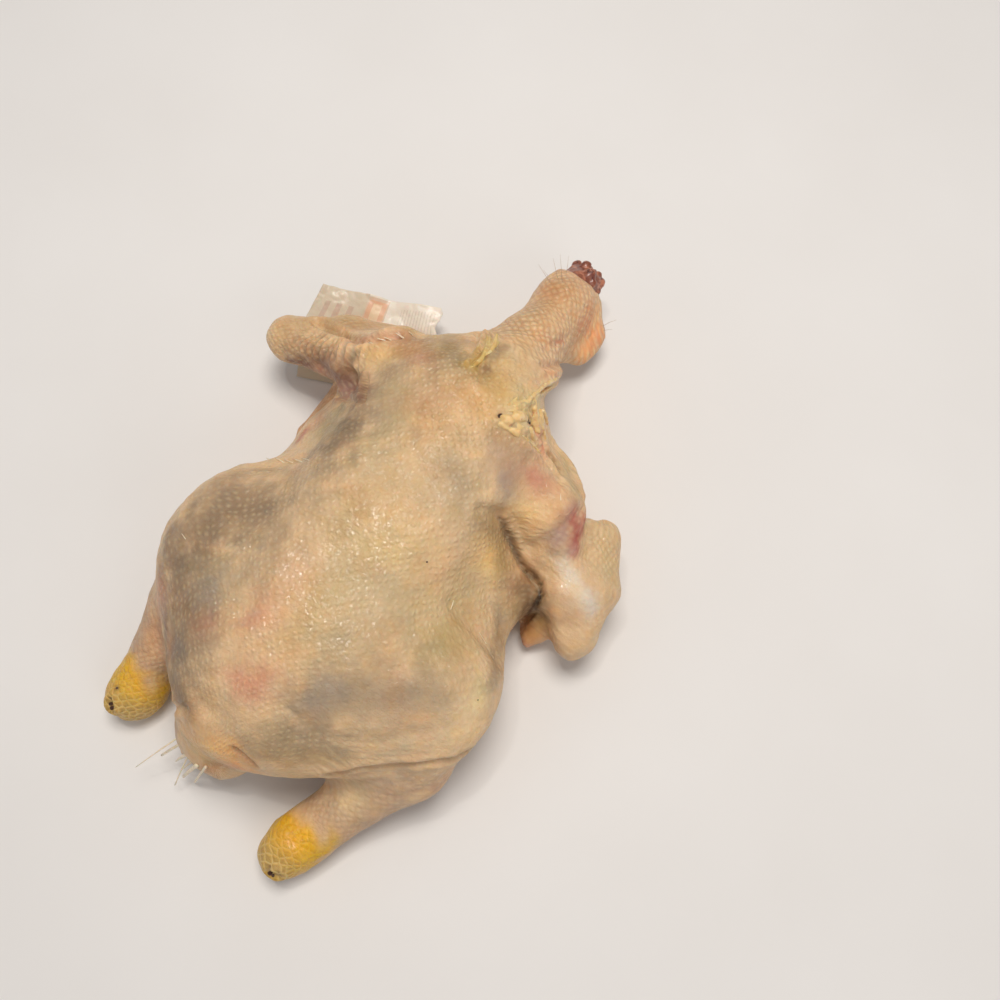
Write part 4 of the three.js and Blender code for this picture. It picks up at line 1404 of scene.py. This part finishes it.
meat = make_meat()
meat_patches = [
    (linear(120, 62, 46), 0.45, 0.6),
    (linear(188, 120, 90), 0.5, 0.64),
    (linear(82, 40, 32), 0.56, 0.68),
]
muscle = flesh_material("neck_muscle", linear(140, 78, 52), meat_patches, 5, 0.36, 0.2, 0.3, 0.35)
shade(meat, muscle, "neck_meat")
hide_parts("neck_meat")
print("meat:", len(meat.data.polygons), "faces")

# %% [markdown]
# ## Quills and hairs
#
# Plucking leaves a few quill stumps, mostly on the tail: pale horn tubes, cut or broken off. Short
# thin ones lie along the waist and the left wing, and a few fine hairs are left at the neck's cut.
# Straight cones could stand for them; strands were chosen because real ones bend a little. Each
# starts below the skin, so that none seems to float.

# %% Make the quills
TAIL_QUILLS = [  # root and tip in the photograph, height of the tip in mm, radius at root and tip
    ((176, 739), (136, 767), 19, 0.45, 0.2),
    ((176, 746), (162, 755), 17, 0.7, 0.6),
    ((184, 756), (176, 761), 14, 1.0, 0.4),
    ((187, 758), (175, 785), 9, 0.4, 0.3),
    ((196, 766), (184, 776), 10, 1.1, 0.85),
    ((205, 768), (195, 782), 8, 0.75, 0.55),
    ((190, 764), (183, 769), 9, 0.5, 0.3),
]
SHORT_QUILLS = [  # root and tip in the photograph, how far the tip stands off, radius in mm
    ((247, 463), (238, 461), 0.9, 0.28),
    ((256, 463), (247, 460), 0.9, 0.3),
    ((266, 463), (257, 460), 1.0, 0.34),
    ((276, 463), (267, 460), 1.0, 0.32),
    ((285, 463), (277, 460), 1.0, 0.36),
    ((294, 463), (285, 461), 0.9, 0.3),
    ((303, 462), (294, 460), 0.9, 0.32),
    ((312, 461), (303, 459), 0.8, 0.28),
    ((202, 482), (193, 480), 0.9, 0.3),
    ((376, 345), (370, 342), 1.2, 0.35),
    ((386, 341), (379, 338), 1.4, 0.4),
    ((392, 340), (385, 337), 1.4, 0.32),
    ((404, 338), (396, 333), 1.8, 0.42),
    ((414, 336), (408, 333), 1.4, 0.3),
    ((561, 502), (560, 494), 0.5, 0.3),
    ((451, 610), (453, 600), 0.5, 0.3),
    ((488, 646), (478, 632), 0.5, 0.22),
    ((186, 540), (183, 534), 0.8, 0.25),
]
HAIRS = [  # root and tip in the photograph, height of the tip in mm
    ((551, 273), (538, 265), 44),
    ((553, 271), (544, 271), 43),
    ((565, 265), (560, 254), 44),
    ((559, 267), (553, 259), 45),
    ((568, 263), (569, 256), 42),
    ((603, 326), (616, 320), 20),
    ((602, 331), (612, 329), 18),
    ((585, 300), (600, 296), 40),
]


def make_quills():
    parts = []
    for i, (root, tip, height, radius, end_radius) in enumerate(TAIL_QUILLS):
        start = seen(*root)
        end = at_height(*tip, height)
        inside = start - (end - start).normalized() * 3 * MM
        bend = start.lerp(end, 0.5) + Vector((0, 0, 1.0)) * MM
        radii = [radius, radius, (radius + end_radius) / 2, end_radius]
        parts.append(strand("quill", [inside, start, bend, end], radii, seed=i))
    for i, (root, tip, off, radius) in enumerate(SHORT_QUILLS):
        start = seen(*root)
        end = seen(*tip) + skin_normal(seen(*tip)) * off * MM
        inside = start - skin_normal(start) * 0.8 * MM
        parts.append(strand("quill", [inside, start, end], [radius, radius, radius * 0.5], sides=1, seed=i))
    return join("quills", parts)


def make_hairs():
    parts = []
    for i, (root, tip, height) in enumerate(HAIRS):
        start = seen(*root)
        end = at_height(*tip, height)
        middle = start.lerp(end, 0.5)
        inside = start - skin_normal(start) * MM
        radii = [0.13, 0.12, 0.1, 0.05]
        parts.append(strand("hair", [inside, start, middle, end], radii, 1, wobble=0.5, seed=i))
    return join("hairs", parts)


quills = make_quills()
hairs = make_hairs()
print("quills:", len(TAIL_QUILLS) + len(SHORT_QUILLS), "hairs:", len(HAIRS))

# %% [markdown]
# Horn is smooth, pale and slightly see-through. An image would be wasted on pieces as thin as
# these, so noise of a few millimetres mixes two colours: ivory ones for the quills, brown ones
# for the hairs.

# %% Make the horn's material


def horn_material(name, pale, dark, size):
    material, tree, shader, node, maths, mix = new_material(name)
    place = node("TexCoord").outputs["Object"]
    streaks = node("TexNoise", Vector=place, Scale=1 / (size * MM), Detail=2.0).outputs["Fac"]
    tree.links.new(mix(streaks, pale, dark), shader.inputs["Base Color"])
    shader.inputs["Roughness"].default_value = 0.35
    shader.inputs["Subsurface Weight"].default_value = 0.2
    shader.inputs["Subsurface Scale"].default_value = MM
    return material


shade(quills, horn_material("quill_horn", linear(250, 240, 216), linear(222, 196, 150), 3))
shade(hairs, horn_material("hair_horn", linear(190, 160, 120), linear(140, 110, 80), 2))
print("quills and hairs shaded")

# %% [markdown]
# ## The tag
#
# A strip of printed film lies half under the left wing: thin, crumpled, a little see-through, its
# right end torn. It has the solid's broad shape, with finer crumples that were too small for it.
# A cloth simulation could drop it into place, but a formula for its height puts every slope where
# it was seen. It starts as a flat grid, gets its heights, and then its thickness.

# %% Make the tag
TAG_CORNER = Vector((-129, 120, 0))  # its far left corner, in mm from the spine
TAG_ALONG = Vector((0.91, 0.414, 0))
TAG_ACROSS = Vector((0.414, -0.91, 0))
TAG_LENGTH = 74
TAG_WIDTH = 48
TAG_THICKNESS = 0.3
TAG_FAR_HEIGHT = 21
TAG_NEAR_HEIGHT = 1
TAG_GRID = (150, 96)


def tag_height(u, v):
    """Height in mm of the film above the floor: it slopes down from its far edge."""


    def crumple(across, down, layer):
        return abs(noise.noise(Vector((u * across, v * down, layer))))

    slope = TAG_FAR_HEIGHT + (TAG_NEAR_HEIGHT - TAG_FAR_HEIGHT) * v
    waves = 1.6 * math.sin(u * 7 + v * 2) * (1 - v * 0.8) + 0.8 * math.sin(u * 17 - v * 5) * (1 - v)
    crease = crumple(5, 3.4, 2) + 0.5 * crumple(12, 8, 5)
    corner = math.exp(-((u / 0.22) ** 2) - ((v / 0.2) ** 2)) * crumple(14, 14, 9) * 2
    return slope + waves + (1 - v) * (crease - 0.35) * 1.4 + corner


def make_tag():
    columns, rows = TAG_GRID
    bpy.ops.mesh.primitive_grid_add(x_subdivisions=columns, y_subdivisions=rows, size=1)
    tag = bpy.context.object
    tag.name = tag.data.name = "wing_tag_film"
    flat = points_of(tag)
    places = []
    for x, y, _ in flat:
        u, v = x + 0.5, 0.5 - y
        u += (1 - u) * 0.1 * max(0, 1 - v / 0.35)
        torn = (1.2 * math.sin(v * 21.6) + 0.9 * noise.noise(Vector((v * 24, 1, 1)))) * soft(u, 0.93, 1)
        place = TAG_CORNER + TAG_ALONG * (u * TAG_LENGTH + float(torn)) + TAG_ACROSS * v * TAG_WIDTH
        place.z = tag_height(u, v) - 0.1
        places.append(SPINE + place * MM)
    uv = tag.data.uv_layers[0].data if tag.data.uv_layers else tag.data.uv_layers.new(name="print").data
    for loop in tag.data.loops:
        x, y, _ = flat[loop.vertex_index]
        uv[loop.index].uv = (x + 0.5, 0.5 - y)
    set_points(tag, np.array([tuple(place) for place in places]))
    mend(tag)
    apply(tag, "SOLIDIFY", thickness=TAG_THICKNESS * MM, offset=-1)
    bpy.ops.object.shade_smooth()
    return tag


tag = make_tag()
print("tag:", len(tag.data.polygons), "faces")

# %% [markdown]
# The print is only hinted at. It could be an image, but a few plain fields, a ring and bars are
# quickly drawn by comparing the place on the strip with limits, and stay sharp from close by.

# %% Make the film's material


def film_material():
    material, tree, shader, node, maths, mix = new_material("printed_film")
    print_place = node("UVMap").outputs["UV"]
    place = node("TexCoord").outputs["Object"]
    spot = node("SeparateXYZ", Vector=print_place).outputs

    def between(value, low, high):
        return maths("MULTIPLY", maths("GREATER_THAN", value, low), maths("LESS_THAN", value, high))

    def field(left, right, top, bottom):
        return maths("MULTIPLY", between(spot[0], left, right), between(spot[1], top, bottom))

    cloud = node("TexNoise", Vector=place, Scale=90.0, Detail=3.0).outputs["Fac"]
    colour = mix(cloud, linear(226, 214, 194), linear(240, 230, 214))
    film = maths("MULTIPLY", field(0.0, 0.4, 0.0, 1.0), 0.6)
    colour = mix(film, colour, linear(196, 178, 144))
    panel = field(0.4, 0.57, 0.02, 0.4)
    colour = mix(maths("MULTIPLY", panel, 0.6), colour, linear(208, 170, 134))
    inner = field(0.412, 0.558, 0.05, 0.4)
    colour = mix(maths("MULTIPLY", inner, 0.8), colour, linear(228, 178, 140))
    block = field(0.45, 0.52, 0.08, 0.3)
    colour = mix(maths("MULTIPLY", block, 0.7), colour, linear(236, 214, 176))
    ring_x = maths("SUBTRACT", spot[0], 0.44)
    ring_y = maths("MULTIPLY", maths("SUBTRACT", spot[1], 0.58), 0.65)
    ring = maths("SQRT", maths("ADD", maths("MULTIPLY", ring_x, ring_x), maths("MULTIPLY", ring_y, ring_y)))
    colour = mix(maths("MULTIPLY", maths("LESS_THAN", ring, 0.17), 0.75), colour, linear(226, 150, 112))
    bars = maths("LESS_THAN", maths("FRACT", maths("MULTIPLY", spot[0], 40.0)), 0.38)
    length = node("TexNoise", Vector=print_place, Scale=30.0, Detail=1.0).outputs["Fac"]
    bars = maths("MULTIPLY", maths("MULTIPLY", bars, field(0.68, 0.97, 0.08, 0.52)), length)
    colour = mix(maths("MULTIPLY", bars, 0.45), colour, linear(168, 152, 128))
    smudge = maths("LESS_THAN", maths("FRACT", maths("MULTIPLY", spot[0], 11.0)), 0.45)
    smudge = maths("MULTIPLY", smudge, field(0.06, 0.36, 0.16, 0.36))
    colour = mix(maths("MULTIPLY", smudge, 0.45), colour, linear(190, 150, 132))
    tree.links.new(colour, shader.inputs["Base Color"])
    crinkle = node("TexNoise", Vector=place, Scale=120.0, Detail=4.0, Roughness=0.55).outputs["Fac"]
    bump = node("Bump", Height=crinkle, Distance=0.6 * MM, Strength=1.0)
    tree.links.new(bump.outputs[0], shader.inputs["Normal"])
    shader.inputs["Roughness"].default_value = 0.45
    shader.inputs["Subsurface Weight"].default_value = 0.15
    shader.inputs["Subsurface Scale"].default_value = MM
    shader.inputs["Coat Weight"].default_value = 0.2
    shader.inputs["Coat Roughness"].default_value = 0.15
    return material


shade(tag, film_material(), "wing_tag")
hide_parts("wing_tag")
print("tag shaded")

# %% [markdown]
# ## Finish
#
# The skin takes the place of the solid bird.

# %% Tie the skin to the bird and finish
shade(skin, raw_skin, "bird")
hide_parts("bird")
